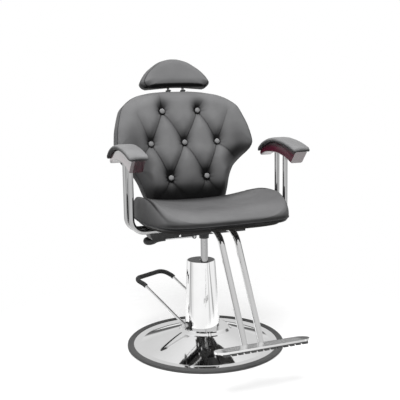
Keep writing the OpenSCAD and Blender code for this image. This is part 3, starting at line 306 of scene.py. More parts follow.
class Maker(Tree):
    """Builds one material on a Principled shader, with its patterns in object coordinates."""

    def __init__(self, name, **inputs):
        self.mat = bpy.data.materials.new(name)
        self.mat.use_nodes = True
        super().__init__(self.mat.node_tree)
        self.shader = self.tree.nodes["Principled BSDF"]
        for key, value in inputs.items():
            self.shader.inputs[key.replace("_", " ")].default_value = value
        self.coords = self.node("ShaderNodeTexCoord").outputs["Object"]
        self.normal = None

    def stretched(self, scale):
        mapping = self.node("ShaderNodeMapping")
        mapping.inputs["Scale"].default_value = scale
        self.feed(self.coords, mapping.inputs["Vector"])
        return mapping.outputs["Vector"]

    def noise(self, scale, detail, rough=0.55, distortion=0.0, vector=None):
        made = self.node("ShaderNodeTexNoise")
        made.inputs["Scale"].default_value = scale
        made.inputs["Detail"].default_value = detail
        made.inputs["Roughness"].default_value = rough
        made.inputs["Distortion"].default_value = distortion
        self.feed(vector or self.coords, made.inputs["Vector"])
        return made.outputs["Fac"]

    def cells(self, scale):
        made = self.node("ShaderNodeTexVoronoi")
        made.inputs["Scale"].default_value = scale
        self.feed(self.coords, made.inputs["Vector"])
        return made.outputs["Distance"]

    def painted_shades(self, most):
        """Mask that goes from 0 where no shade is painted to most where the painted shade is
        deepest.
        """
        depth = self.node("ShaderNodeAttribute", attribute_name="painted_shade").outputs["Fac"]
        return self.ramp(depth, [(0.0, 0.0), (1.0, most)])

    def worn_edges(self):
        """Mask that is 1 on convex edges."""
        pointed = self.node("ShaderNodeNewGeometry").outputs["Pointiness"]
        return self.ramp(pointed, [(0.5, 0.0), (0.56, 1.0)])

    def colour(self, value):
        self.feed(value, self.shader.inputs["Base Color"])

    def rough(self, value, least_and_most):
        made = self.node("ShaderNodeMapRange")
        made.inputs["To Min"].default_value, made.inputs["To Max"].default_value = least_and_most
        self.feed(value, made.inputs["Value"])
        self.feed(made.outputs["Result"], self.shader.inputs["Roughness"])

    def bump(self, height, strength, distance):
        """Adds a relief to the ones before it."""
        made = self.node("ShaderNodeBump")
        made.inputs["Strength"].default_value = strength
        made.inputs["Distance"].default_value = distance
        self.feed(height, made.inputs["Height"])
        if self.normal:
            self.feed(self.normal, made.inputs["Normal"])
        self.normal = made.outputs["Normal"]
        self.feed(self.normal, self.shader.inputs["Normal"])


def darker(colour, share):
    return tuple(c * share for c in colour)


def leather(name, tones, rough=(0.36, 0.52), grain=520.0):
    """Leather between two tones, with pores, creases and fine wrinkles, and painted shade from the
    mesh that darkens it nearly to black.
    """
    dark, light = tones
    pore_tone, painted_shade_tone = darker(dark, 0.7), darker(dark, 0.04)
    m = Maker(name, Specular_IOR_Level=0.1)
    patches = m.ramp(m.noise(scale=9, detail=3), [(0.35, dark), (0.7, light)])
    pores = m.cells(grain)
    porous = m.mix(m.ramp(pores, [(0.0, 0.25), (0.5, 0.0)]), patches, pore_tone)
    # painted shade: the colour darkens nearly to black where the mesh's attribute says shade is
    # painted
    m.colour(m.mix(m.painted_shades(most=0.97), porous, painted_shade_tone))
    m.rough(m.noise(scale=38, detail=5), rough)
    creases = m.noise(scale=26, detail=6, rough=0.6, distortion=0.4)
    m.bump(creases, strength=0.1, distance=0.004)
    m.bump(m.noise(scale=120, detail=3), strength=0.12, distance=0.0012)
    m.bump(pores, strength=0.16, distance=0.0006)
    return m.mat


def plated(name, tone, rough):
    """Bare metal with faint clouds and a slightly uneven polish."""
    m = Maker(name, Metallic=1.0)
    m.colour(m.ramp(m.noise(scale=14, detail=3), [(0.3, tone * 0.95), (0.75, tone)]))
    m.rough(m.noise(scale=60, detail=4), rough)
    m.bump(m.noise(scale=22, detail=2), strength=0.02, distance=0.002)
    return m.mat


def coated(name, colour, rough, grain, strength, wear=None, metallic=0.0, specular=0.5):
    """Coated, cast or moulded surface with a fine grain, and a tone of wear on its edges."""
    m = Maker(name, Metallic=metallic, Specular_IOR_Level=specular)
    tone = m.ramp(m.noise(scale=30, detail=4), [(0.3, darker(colour, 0.82)), (0.75, colour)])
    m.colour(m.mix(m.worn_edges(), tone, wear) if wear else tone)
    m.rough(m.noise(scale=80, detail=4), rough)
    m.bump(m.noise(grain, detail=2), strength, distance=0.0004)
    return m.mat


def lacquered_wood(name):
    """Red wood with its grain along y, under a thick clear lacquer."""
    m = Maker(name, Coat_Weight=1.0, Coat_Roughness=0.03, Coat_IOR=2.2, Specular_IOR_Level=0.6)
    along_y = m.stretched((1.0, 0.12, 0.6))
    grain = m.noise(scale=34, detail=6, rough=0.6, distortion=0.8, vector=along_y)
    reds = [(0.25, (0.06, 0.004, 0.017)), (0.5, (0.14, 0.012, 0.038)), (0.8, (0.28, 0.04, 0.085))]
    m.colour(m.ramp(grain, reds))
    m.rough(grain, (0.16, 0.3))
    pores = m.noise(scale=220, detail=3, vector=m.stretched((1.0, 0.1, 0.6)))
    m.bump(pores, strength=0.05, distance=0.0004)
    return m.mat


def black_board(name):
    """Black-stained plywood with its layers across z."""
    m = Maker(name)
    across_z = m.stretched((0.05, 0.05, 6.0))
    layers = m.noise(scale=90, detail=4, rough=0.5, distortion=0.3, vector=across_z)
    m.colour(m.ramp(layers, [(0.35, (0.012, 0.011, 0.01)), (0.6, (0.03, 0.027, 0.024))]))
    m.rough(layers, (0.55, 0.75))
    m.bump(layers, strength=0.2, distance=0.0006)
    return m.mat


COVER_TONES = (0.116, 0.116, 0.118), (0.14, 0.14, 0.142)
WELT_TONES = (0.035, 0.035, 0.036), (0.048, 0.048, 0.049)
PALE_TONES = (0.15, 0.15, 0.152), (0.19, 0.19, 0.192)
RUBBER_WEAR = (0.08, 0.08, 0.08)

# one look for each slot of the record, and three more: welts, and darker copies of the chrome for
# tilted and upright tubes, a painted reflection that stands in for the darker studio they reflect
LOOKS = {
    "upholstery": leather("upholstery_leather", COVER_TONES),
    "welt": leather("welt_leather", WELT_TONES),
    "button": leather("button_leather", PALE_TONES, (0.4, 0.55), grain=700.0),
    "arm_pad": leather("arm_pad_leather", PALE_TONES, (0.45, 0.6)),
    "chrome": plated("chrome_plate", 0.93, (0.02, 0.08)),
    "tilted_chrome_painted_dim": plated("chrome_tube_painted_dim", 0.8, (0.04, 0.12)),
    "upright_chrome_painted_dark": plated("chrome_post_painted_dark", 0.48, (0.02, 0.08)),
    "zinc": plated("zinc_plate", 0.72, (0.22, 0.4)),
    "cast_alloy": plated("cast_alloy_polish", 0.9, (0.1, 0.22)),
    "base_steel": coated("grey_steel", (0.1, 0.1, 0.105), (0.45, 0.65), 900.0, 0.2,
                         wear=(0.2, 0.2, 0.2), metallic=0.4),
    "bronze": coated("bronze_bush", (0.5, 0.28, 0.09), (0.25, 0.4), 900.0, 0.1, metallic=1.0),
    "black_steel": coated("black_powder_coat", (0.018, 0.018, 0.019), (0.32, 0.5), 1400.0, 0.3,
                          wear=(0.06, 0.06, 0.06)),
    "black_plastic": coated("black_moulded_plastic", (0.028, 0.028, 0.03), (0.28, 0.42), 700.0,
                            0.15, wear=(0.05, 0.05, 0.05)),
    "rubber": coated("black_rubber", (0.04, 0.04, 0.041), (0.55, 0.75), 500.0, 0.25,
                     wear=RUBBER_WEAR, specular=0.3),
    "rim_rubber": coated("grey_rim_rubber", (0.05, 0.05, 0.051), (0.55, 0.7), 400.0, 0.2,
                         wear=RUBBER_WEAR, specular=0.35),
    "arm_wood": lacquered_wood("lacquered_wood"),
    "plywood": black_board("plywood_board"),
}

# painted reflection: these rods and tubes get the darker copies of the chrome
TILTED_CHROME = [
    "lever_rod", "release_rod", "footrest_tube_left", "footrest_tube_right", "footrest_straps",
]
UPRIGHT_CHROME = [
    "lift_post", "headrest_rods",
    "arm_tube_left_front", "arm_tube_left_rear", "arm_tube_right_front", "arm_tube_right_rear",
]
SHARP_CAD_EDGE = math.radians(34)

slot_of = {part["node"]: part["material_slot"] for part in frame["record"]["subparts"]}
look_of = slot_of | dict.fromkeys(TILTED_CHROME, "tilted_chrome_painted_dim")
look_of |= dict.fromkeys(UPRIGHT_CHROME, "upright_chrome_painted_dark")
for name, ob in nodes.items():
    ob.data.set_sharp_from_angle(angle=SHARP_CAD_EDGE)
    ob.data.polygons.foreach_set("use_smooth", [True] * len(ob.data.polygons))
    ob.data.materials.clear()
    ob.data.materials.append(LOOKS[look_of[name]])


# Camera, floor and light

# fitted to the photo in perspective
LENS, SENSOR = 63.26, 36
CAMERA_PLACE = (-0.9881, -2.4071, 0.9829)
CAMERA_FORWARD, CAMERA_UP = (0.3703, 0.9152, -0.1593), (0.0738, 0.1420, 0.9871)

FLOOR_RADIUS, FLOOR_DROP, FLOOR_SIDES = 2.6, 0.0005, 96
FLOOR_FADE = [(0.62, 0.0), (1.0, 1.0)]
# the floor's colour to light, and its colour and glow to the camera and in reflections
FLOOR_LIT, FLOOR_PAPER, FLOOR_GLOW = (0.16, 0.16, 0.16), [(0.3, 0.33), (0.7, 0.35)], (0.7, 0.7, 0.7)

# Tones of the studio in reflections. Turn goes once round the chair from -X, with the front at
# 0.25, and height goes from 0, straight down, to 1, straight up.
FLAGS_LOW_TURN = [
    (0.0, 0.1), (0.02, 0.0), (0.31, 0.0), (0.335, 0.45), (0.36, 0.0), (0.4, 0.0), (0.43, 0.8),
    (0.46, 0.1), (0.5, 0.0), (0.6, 0.45), (0.66, 0.88), (0.72, 0.88), (0.755, 0.45), (0.785, 0.0),
    (0.91, 0.0), (0.94, 0.8), (0.98, 0.1),
]
FLAGS_LOW_HEIGHT = [(0.3, 0.0), (0.36, 1.0), (0.53, 1.0), (0.56, 0.0)]
FLAGS_SIDE_TURN = [
    (0.0, 0.6), (0.015, 0.0), (0.485, 0.0), (0.505, 0.8), (0.55, 0.8), (0.57, 0.0), (0.935, 0.0),
    (0.955, 0.8), (0.995, 0.8),
]
FLAGS_SIDE_HEIGHT = [(0.57, 0.0), (0.6, 1.0), (0.7, 1.0), (0.74, 0.0)]
STUDIO_HEIGHT = [
    (0.0, 0.8), (0.46, 0.95), (0.51, 1.0), (0.55, 0.72), (0.62, 0.64), (0.78, 0.66), (0.9, 0.8),
    (1.0, 0.9),
]
LIGHT_HEIGHT = [(0.0, 0.03), (0.45, 0.06), (0.6, 0.5), (1.0, 1.0)]
STUDIO_STRENGTH, LIGHT_STRENGTH = 1.05, 0.3

# name: place, point that it faces, width and length, watts
LAMPS = {
    "key": ((-0.8, -1.6, 3.2), (0, 0, 0.7), (1.9, 1.5), 172),
    "top": ((0.3, 0.2, 3.3), (0, 0, 0.5), (2.4, 2.4), 30),
    "fill": ((2.4, -1.4, 1.4), (0, 0, 0.6), (1.4, 1.4), 9),
}


def studio_camera():
    data = bpy.data.cameras.new("camera")
    data.lens, data.sensor_width = LENS, SENSOR
    cam = bpy.data.objects.new("camera", data)
    bpy.context.scene.collection.objects.link(cam)
    forward = Vector(CAMERA_FORWARD).normalized()
    right = forward.cross(Vector(CAMERA_UP)).normalized()
    turn = Matrix((right, right.cross(forward), -forward)).transposed().to_4x4()
    cam.matrix_world = Matrix.Translation(CAMERA_PLACE) @ turn
    bpy.context.scene.camera = cam
    bpy.context.scene.view_settings.view_transform = "Standard"


def studio_floor():
    """Pale floor that carries the shadow and fades out away from the chair.

    It is white to the camera and in reflections, and grey to the light that it throws back.
    """
    bpy.ops.mesh.primitive_circle_add(
        vertices=FLOOR_SIDES, radius=FLOOR_RADIUS, fill_type="NGON", location=(0, 0, -FLOOR_DROP))
    floor = bpy.context.object
    floor.name = "studio_floor"
    m = Maker("floor_paper", Roughness=0.9, Specular_IOR_Level=0.1, Emission_Strength=1.0)
    path = m.node("ShaderNodeLightPath").outputs
    seen = m.maths("MAXIMUM", path["Is Camera Ray"], path["Is Glossy Ray"])
    paper = m.ramp(m.noise(scale=3, detail=2), FLOOR_PAPER)
    m.colour(m.mix(seen, FLOOR_LIT, paper))
    m.feed(m.mix(seen, (0.0, 0.0, 0.0), FLOOR_GLOW), m.shader.inputs["Emission Color"])
    away = m.node("ShaderNodeVectorMath", operation="LENGTH")
    m.feed(m.coords, away.inputs[0])
    clear = m.node("ShaderNodeBsdfTransparent").outputs["BSDF"]
    fading = m.choose(m.ramp(away.outputs["Value"], FLOOR_FADE), m.shader.outputs["BSDF"], clear)
    m.feed(fading, m.tree.nodes["Material Output"].inputs["Surface"])
    floor.data.materials.append(m.mat)


def studio_world():
    """White to the camera, grey as light, and a bright studio with dark flags in reflections."""
    world = bpy.data.worlds.new("studio")
    bpy.context.scene.world = world
    world.use_nodes = True
    world.node_tree.nodes.clear()
    w = Tree(world.node_tree)
    split = w.node("ShaderNodeSeparateXYZ")
    w.feed(w.node("ShaderNodeTexCoord").outputs["Generated"], split.inputs["Vector"])
    angle = w.maths("ARCTAN2", split.outputs["Y"], split.outputs["X"])
    turn = w.maths("ADD", w.maths("DIVIDE", angle, 2 * math.pi), 0.5)
    height = w.maths("ADD", w.maths("MULTIPLY", split.outputs["Z"], 0.5), 0.5)
    low = w.maths("MULTIPLY", w.ramp(turn, FLAGS_LOW_TURN), w.ramp(height, FLAGS_LOW_HEIGHT))
    side = w.maths("MULTIPLY", w.ramp(turn, FLAGS_SIDE_TURN), w.ramp(height, FLAGS_SIDE_HEIGHT))
    unflagged = w.maths("SUBTRACT", 1.0, w.maths("MAXIMUM", low, side))
    studio = w.maths("MULTIPLY", w.ramp(height, STUDIO_HEIGHT), unflagged)

    def background(colour, strength):
        made = w.node("ShaderNodeBackground")
        w.feed(colour, made.inputs["Color"])
        w.feed(strength, made.inputs["Strength"])
        return made.outputs["Background"]

    light = background(w.ramp(height, LIGHT_HEIGHT), LIGHT_STRENGTH)
    shiny = background(studio, STUDIO_STRENGTH)
    white = background((1, 1, 1), 1.0)
    path = w.node("ShaderNodeLightPath").outputs
    straight = w.maths("MAXIMUM", path["Is Camera Ray"], path["Is Transmission Ray"])
    surface = w.choose(straight, w.choose(path["Is Glossy Ray"], light, shiny), white)
    w.feed(surface, w.node("ShaderNodeOutputWorld").inputs["Surface"])


def lamp(name, origin, aim, size, power):
    """Rectangular lamp, left out of reflections so that no lamp's shape shows in the lacquer."""
    data = bpy.data.lights.new(name, "AREA")
    data.shape = "RECTANGLE"
    data.size, data.size_y = size
    data.energy = power
    ob = bpy.data.objects.new(name, data)
    bpy.context.scene.collection.objects.link(ob)
    ob.location = origin
    ob.rotation_euler = (Vector(aim) - Vector(origin)).to_track_quat("-Z", "Y").to_euler()
    ob.visible_glossy = False


# Base

# heights of the plate's top by radius: a straight cone down to a flat lip under the rim
CONE_R, CONE_Z = [101, 248, 256, 292], [61.1, 10.9, 10.9, 12.5]
CONE_IN, CONE_OUT, RING_GAP = 101, 291, 0.8
# the rim's inner lip thins over LIP_W from radius LIP_R, down to a wedge on the plate
LIP_Z, LIP_R, LIP_W, LIP_LEAST = 12.6, 276, 20, 0.05


def reshaped(name, node, height):
    """Copy of a base node that stands for it, with its heights from height(radius, old height)."""
    mesh = nodes[node].data.copy()
    co = np.empty(len(mesh.vertices) * 3)
    mesh.vertices.foreach_get("co", co)
    co = co.reshape(-1, 3)
    co[:, 2] = height(np.hypot(co[:, 0], co[:, 1]) / MM, co[:, 2] / MM) * MM
    mesh.vertices.foreach_set("co", co.ravel())
    mesh.update()
    put(place(name, mesh, "base"), slot_of[node], node)


def cone_height(r, z):
    """Moves the plate's bell-shaped top, and the faces under it, to the cone."""
    rings = sorted({round(float(q)) for q in r if q > CONE_IN - 1})
    top = [max(z[np.abs(r - q) < RING_GAP]) for q in rings]
    shift = np.interp(r, CONE_R, CONE_Z) - np.interp(r, rings, top)
    return z + np.where((r > CONE_IN) & (r < CONE_OUT), shift, 0)


def lip_height(r, z):
    share = np.clip((r - LIP_R) / LIP_W, LIP_LEAST, 1)
    return np.where(z > LIP_Z, LIP_Z + (z - LIP_Z) * share, z)


# Seat cushion: x across, y back from its front edge, z up from its underside

SEAT_W, SEAT_L, SEAT_REAR = 544.0, 393.0, 118.0
SEAT_CROWN, SEAT_ROLL, SEAT_FALL = 51.0, 42.0, 16.0
# shares of the length over which the front falls and the side rolls rise,
# and of the width from the middle out to a roll
FALL_SHARE, ROLL_SHARE, ROLL_AT = 0.36, 0.42, 0.45
# how quickly the rolls rise behind the front, sink to a share at the rear, and rise to the sides
ROLL_POWER, ROLL_REAR_POWER, ROLL_SIDE_POWER, ROLL_REAR_LOSS = 1.6, 1.5, 2.6, 0.55
SEAT_EDGE_Z, SEAT_EDGE_R, SEAT_LEAST = 20.0, 38.0, 60.0
# how fast the edge rolls over at the sides, the front and the rear
SIDE_STEEP, FRONT_STEEP, REAR_STEEP = 1.4, 1.1, 1.3
# the sewn join of the top and side panels: its inset at the front's lower edge, how far it climbs
# to the side rolls, from which share of the length and over which, and how evenly
SEAM_LOW, SEAM_CLIMB, SEAM_FROM, SEAM_OVER, SEAM_POWER = 3.0, 30.0, 0.1, 0.62, 0.8
SEAT_SEAM_R, SEAT_SEAM_DIP, SEAT_PULL_R, SEAT_PULL = 1.7, 2.4, 5.0, 1.2
SEAT_HOLLOW, SEAT_HOLLOW_R, SEAT_HOLLOW_AT, SEAT_SLACK = 2.5, 120.0, 0.62, 0.9
SEAT_TUCK = 9.0
# the side below the top: height, and how far it is drawn in
SEAT_SIDE = [(0.0, SEAT_TUCK), (5.0, 4.4), (10.0, 1.7), (15.0, 0.3)]
SEAT_UNDER = (0.6, 0.2, -0.2, -0.6)
SEAT_OUTLINE = [
    (0, 0.36), (0.012, 0.56), (0.045, 0.74), (0.11, 0.855), (0.2, 0.925), (0.34, 0.975),
    (0.52, 1), (0.7, 0.995), (0.84, 0.97), (0.94, 0.9), (0.985, 0.79), (1, 0.66),
]
SEAT_WELT_R, SEAT_WELT_Z, SEAT_WELT_IN = 1.9, 11.0, 0.6
# painted shade towards the rear and right at it, at the front edge, and on the side below the top
REAR_SHADE, NEAR_BACK_SHADE, FRONT_SHADE, LOW_SHADE = 0.2, 0.75, 0.85, 0.75
# steps along and across the cover and along its welt, and how they crowd towards the ends
SEAT_STEPS, SEAT_CROWDING = 150, 0.86
SEAT_WELT_STEPS, SEAT_WELT_CROWDING = 159, 0.8


def seat_height(x, y, w):
    """Height of the crowned top with its side rolls, where the seat is w wide to each side."""
    front = np.maximum(0, 1 - y / (FALL_SHARE * SEAT_L))
    roll_front = np.maximum(0, 1 - y / (ROLL_SHARE * SEAT_L))**ROLL_POWER
    roll_rear = ROLL_REAR_LOSS * (np.maximum(0, y / SEAT_L - 0.5) * 2)**ROLL_REAR_POWER
    side = np.minimum(1, np.abs(x) / (ROLL_AT * SEAT_W))**ROLL_SIDE_POWER
    full = SEAT_CROWN - SEAT_FALL * front**2 + SEAT_ROLL * side * (1 - roll_front - roll_rear)
    ends = np.minimum(y * FRONT_STEEP, (SEAT_L - y) * REAR_STEEP)
    edge = np.minimum((w - np.abs(x)) * SIDE_STEEP, ends)
    return SEAT_EDGE_Z + (full - SEAT_EDGE_Z) * roll(edge, SEAT_EDGE_R)


def seat_top(x, y, w):
    """Height of the worn cover's top, and the painted shade at each place."""
    along = y / SEAT_L
    climbed = np.clip((along - SEAM_FROM) / SEAM_OVER, 0, 1)**SEAM_POWER
    inset = SEAM_LOW + SEAM_CLIMB * climbed
    away = np.abs((w - np.abs(x)) - inset)
    strength = (0.3 + 0.7 * rise(along, 0.0, 0.45)) * rise(along, 0.02, 0.06)
    crease = bell(away, SEAT_SEAM_R) * strength
    dip = SEAT_SEAM_DIP * crease + SEAT_PULL * bell(away, SEAT_PULL_R) * strength
    # a shallow hollow worn by the sitter, and the cover's slack, which dies out low on the sides
    middle = np.hypot(x, y - SEAT_HOLLOW_AT * SEAT_L)
    z = seat_height(x, y, w) - SEAT_HOLLOW * bell(middle, SEAT_HOLLOW_R)
    z = z + SEAT_SLACK * waves(x, y, z, seed=3, scale=0.024) * np.clip(z / 50 - 0.3, 0, 1)
    z = z - dip
    # painted shade: along the seam's crease, a little all over, towards the rear where the back
    # shades it, and low on the front edge
    rear_shade = REAR_SHADE * rise(y, 40.0, 120.0) + NEAR_BACK_SHADE * rise(along, 0.66, 1.0)
    front_shade = FRONT_SHADE * sink(z, 16.0, 32.0) * sink(y, 18.0, 78.0)
    return z, np.clip(crease + 0.05 + rear_shade + front_shade, 0, 1)


def build_seat():
    width = width_of(SEAT_OUTLINE, SEAT_W / 2, SEAT_L)
    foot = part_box("seat_cushion")[0].z / MM
    to_frame = np.array([0, SEAT_REAR - SEAT_L, foot])
    rings, painted_shades = [], []
    for y in SEAT_L * crowded(SEAT_STEPS, SEAT_CROWDING):
        w = max(float(width(y)), SEAT_LEAST)
        x = across(SEAT_STEPS) * w
        up_y = np.full_like(x, y)
        z, painted_shade = seat_top(x, up_y, w)
        left = [(back_in - w, y, up) for up, back_in in SEAT_SIDE]
        right = [(w - back_in, y, up) for up, back_in in SEAT_SIDE[::-1]]
        under = [(share * (w - SEAT_TUCK), y, 0.0) for share in SEAT_UNDER]
        ring = np.vstack([left, np.stack([x, up_y, z], 1), right, under]) + to_frame
        rings.append(ring[::-1] * MM)
        # painted shade on the side and the underside near the front
        low = LOW_SHADE * sink(y, 14.0, 84.0)
        low_left, low_rest = np.full(len(left), low), np.full(len(right) + len(under), low)
        painted_shades.append(np.concatenate([low_left, painted_shade, low_rest])[::-1])
    cover("seat_cushion_cover", rings, painted_shades, "seat", "upholstery", "seat_cushion")
    ys = SEAT_L * crowded(SEAT_WELT_STEPS, SEAT_WELT_CROWDING)
    ws = np.maximum(width(ys), SEAT_LEAST) - SEAT_WELT_IN
    line = [(w, y + SEAT_REAR - SEAT_L, foot + SEAT_WELT_Z) for w, y in zip(ws, ys)]
    welt("seat_welt", np.array(mirrored(line)) * MM, SEAT_WELT_R * MM, "seat")


# Backrest: x across, n forward from its pivot's plane, s up its slope from the cushion's foot

LEAN = math.radians(19.6)
PIVOT_Y, PIVOT_Z = 165.0, 490.0
BACK_HALF, BACK_H, BACK_LOW = 284.0, 447.0, 40.0
BACK_FACE, BACK_MID_T, LUMBAR = 12.3, 68.0, 8.0
EDGE_LOW_T, EDGE_WING_T, BACK_EDGE_R = 26.0, 50.0, 58.0
WING_CURL, SIDE_WRAP, WRAP_W = 28.0, 30.0, 52.0
BACK_TUCK, BACK_IN, BACK_LIP, BACK_SLACK = 9.0, 0.985, 0.987, 0.5
BACK_OUTLINE = [
    (0, 0.54), (0.012, 0.57), (0.1, 0.62), (0.2, 0.67), (0.28, 0.735), (0.335, 0.815),
    (0.375, 0.885), (0.408, 0.95), (0.438, 0.985), (0.48, 1), (0.53, 0.996), (0.585, 0.984),
    (0.64, 0.968), (0.7, 0.941), (0.797, 0.888), (0.843, 0.846), (0.905, 0.735), (0.947, 0.61),
    (0.97, 0.49), (0.99, 0.34), (1, 0.18),
]
BACK_LINE = outline_of(BACK_OUTLINE, BACK_HALF, BACK_H, 90)
# steps along the height, points across, and how much each crowds towards its ends
BACK_STEPS, BACK_CROWDING, BACK_POINTS, BACK_POINT_CROWDING = 230, 0.72, 191, 0.22
FRONT_WELT_R, REAR_WELT_R = 1.1, 1.9
# the edge is rolled further in the notch under each wing and along the foot
NOTCH_LOW, NOTCH_HIGH = 0.28, 0.44
NOTCH_ROLL, FOOT_ROLL = 0.66, 0.62
BACK_COUNTS = [
    NOTCH_ROLL if NOTCH_LOW * BACK_H < s < NOTCH_HIGH * BACK_H else 1.0 for _, s in BACK_LINE[:-1]
]

# places of the buttons, in shares of the half width and the height
BUTTONS = [
    (-0.264, 0.803), (0.264, 0.803), (-0.49, 0.508), (0, 0.51), (0.49, 0.508),
    (-0.264, 0.198), (0.264, 0.198),
]
BUTTON_SINK = 17.0
BUTTON_DOME = [
    (3.0, -7.5), (3.0, -0.5), (9.0, -0.6), (10.2, 0.4), (10.7, 1.6), (10.5, 2.8), (9.6, 4.0),
    (8.2, 5.0), (6.2, 5.8), (3.8, 6.4), (1.4, 6.6),
]
# pleats: both ends in the same shares, and how strong the fold is at each end
PLEATS = [
    (-0.264, 0.803, 0, 0.51, 1, 1), (0.264, 0.803, 0, 0.51, 1, 1),
    (-0.264, 0.803, -0.49, 0.508, 1, 1), (0.264, 0.803, 0.49, 0.508, 1, 1),
    (0, 0.51, -0.264, 0.198, 1, 1), (0, 0.51, 0.264, 0.198, 1, 1),
    (-0.49, 0.508, -0.264, 0.198, 1, 1), (0.49, 0.508, 0.264, 0.198, 1, 1),
    (-0.49, 0.508, -0.66, 0.76, 1, 0.2), (0.49, 0.508, 0.68, 0.78, 1, 0.3),
    (0.49, 0.508, 0.7, 0.36, 1, 0.5), (-0.49, 0.508, -0.7, 0.36, 1, 0.4),
    (-0.264, 0.198, -0.13, 0.05, 1, 0.3), (0.264, 0.198, 0.38, 0.07, 1, 0.4),
    (-0.264, 0.198, -0.38, 0.07, 0.8, 0.3), (0.264, 0.198, 0.14, 0.05, 0.6, 0.1),
    (-0.264, 0.803, -0.28, 0.96, 1, 0.3), (0.264, 0.803, 0.36, 0.9, 0.9, 0.0),
]
# depths of the front's reliefs, and their reach from a button or a pleat
TUFT_DEPTH, VALLEY_DEPTH, STITCH_DEPTH, GATHER_DEPTH, PUFF = 29.0, 6.5, 2.4, 0.8, 6.5
VALLEY_R, VALLEY_POWER, STITCH_R = 16.0, 1.5, 1.7
# a tuft's pit and its skirt: share of the depth, radius and power
TUFT_FORM = ((0.55, 19.0, 1.6), (0.45, 44.0, 1.7))
# distances count so much above a button and below it, since the cover slopes further above it
TUFT_ABOVE, TUFT_BELOW = 0.82, 1.08
# a stitched line fades in at this distance from a button, over this length; and the share of a
# valley that a tuft takes away
STITCH_FROM, STITCH_OVER, TUFT_OVER_VALLEY = 9.0, 8.0, 0.8
POCKET_W, POCKET_H, SLOPE_R = 12.0, 13.0, 26.0
GATHERS, GATHER_AT, GATHER_R = 9, 17.0, 9.0
# how far the foot falls back towards the seat, and up to which height
FOOT_FALLS = ((16.0, 64.0), (8.0, 190.0))
# strength of the painted shade on each form and in each fold, from 0 to 1
NOTCH_SHADE, HOLLOW_SHADE, BAND_SHADE, FOOT_SHADE = 0.5, 0.5, 0.5, 0.66
VALLEY_SHADE, SLOPE_SHADE, GATHER_SHADE = 0.34, 0.5, 0.1
STITCH_SHADE, BUTTON_SHADE, POCKET_SHADE = 0.6, 0.9, 0.6


def back_world(points):
    """Points (x, n, s from the pivot) of the backrest, in the chair's frame, in metres."""
    p = np.asarray(points, float)
    c, d = math.cos(LEAN), math.sin(LEAN)
    y = PIVOT_Y - c * p[:, 1] + d * p[:, 2]
    z = PIVOT_Z + d * p[:, 1] + c * p[:, 2]
    return np.stack([p[:, 0], y, z], 1) * MM


def wing(s):
    """0 on the lower part of the back, 1 on the wings."""
    return rise(s / BACK_H, 0.3, 0.47)


def back_rear(x, s, w):
    """n of the rear face, which curls forward at the wings and wraps round the board below them."""
    q = np.maximum(0, 1 - (w - np.abs(x)) / WRAP_W)
    curl = WING_CURL * wing(s) * (np.abs(x) / BACK_HALF)**3
    return BACK_FACE + curl - SIDE_WRAP * (1 - wing(s)) * q * q


def back_side(x, s):
    """Thickness of the cushion's side."""
    out = np.minimum(1, np.abs(x) / BACK_HALF)**2
    return EDGE_LOW_T + (EDGE_WING_T - EDGE_LOW_T) * wing(s) * out


def back_full(s):
    """Thickness of the cushion away from its edges."""
    return BACK_MID_T + LUMBAR * (1 - (2 * s / BACK_H - 1)**2)


def button_pull(x, s):
    """Fields round the buttons: tuft, distance, pocket, the slope over it, and radial gathers."""
    tuft, pocket, slope, gathers = (np.zeros_like(x) for _ in range(4))
    near = np.full_like(x, FAR)
    for bx, bs in BUTTONS:
        dx, ds = x - bx * BACK_HALF, s - bs * BACK_H
        d = np.hypot(dx, ds * np.where(ds > 0, TUFT_ABOVE, TUFT_BELOW))
        tuft = np.maximum(tuft, sum(share * fade(d, r, power) for share, r, power in TUFT_FORM))
        away = np.hypot(dx, ds)
        near = np.minimum(near, away)
        pocket = np.maximum(pocket, fade(dx, POCKET_W) * fade(ds - POCKET_H, POCKET_H))
        slope = np.maximum(slope, fade(dx, SLOPE_R) * fade(ds - SLOPE_R, SLOPE_R))
        ripple = np.cos(GATHERS * np.arctan2(ds, dx) + 7 * bx)
        gathers = gathers + ripple * fade(away - GATHER_AT, GATHER_R)
    return tuft, near, pocket, slope, gathers


def pleat_pull(x, s):
    """Fields along the pleats: the wide valley, and the stitched line in it."""
    valley, stitch = np.zeros_like(x), np.zeros_like(x)
    for x0, s0, x1, s1, k0, k1 in PLEATS:
        start, end = (x0 * BACK_HALF, s0 * BACK_H), (x1 * BACK_HALF, s1 * BACK_H)
        d, t = segment_distance(x, s, start, end)
        k = k0 + (k1 - k0) * t
        valley = np.maximum(valley, k * fade(d, VALLEY_R, VALLEY_POWER))
        stitch = np.maximum(stitch, k * fade(d, STITCH_R))
    return valley, stitch


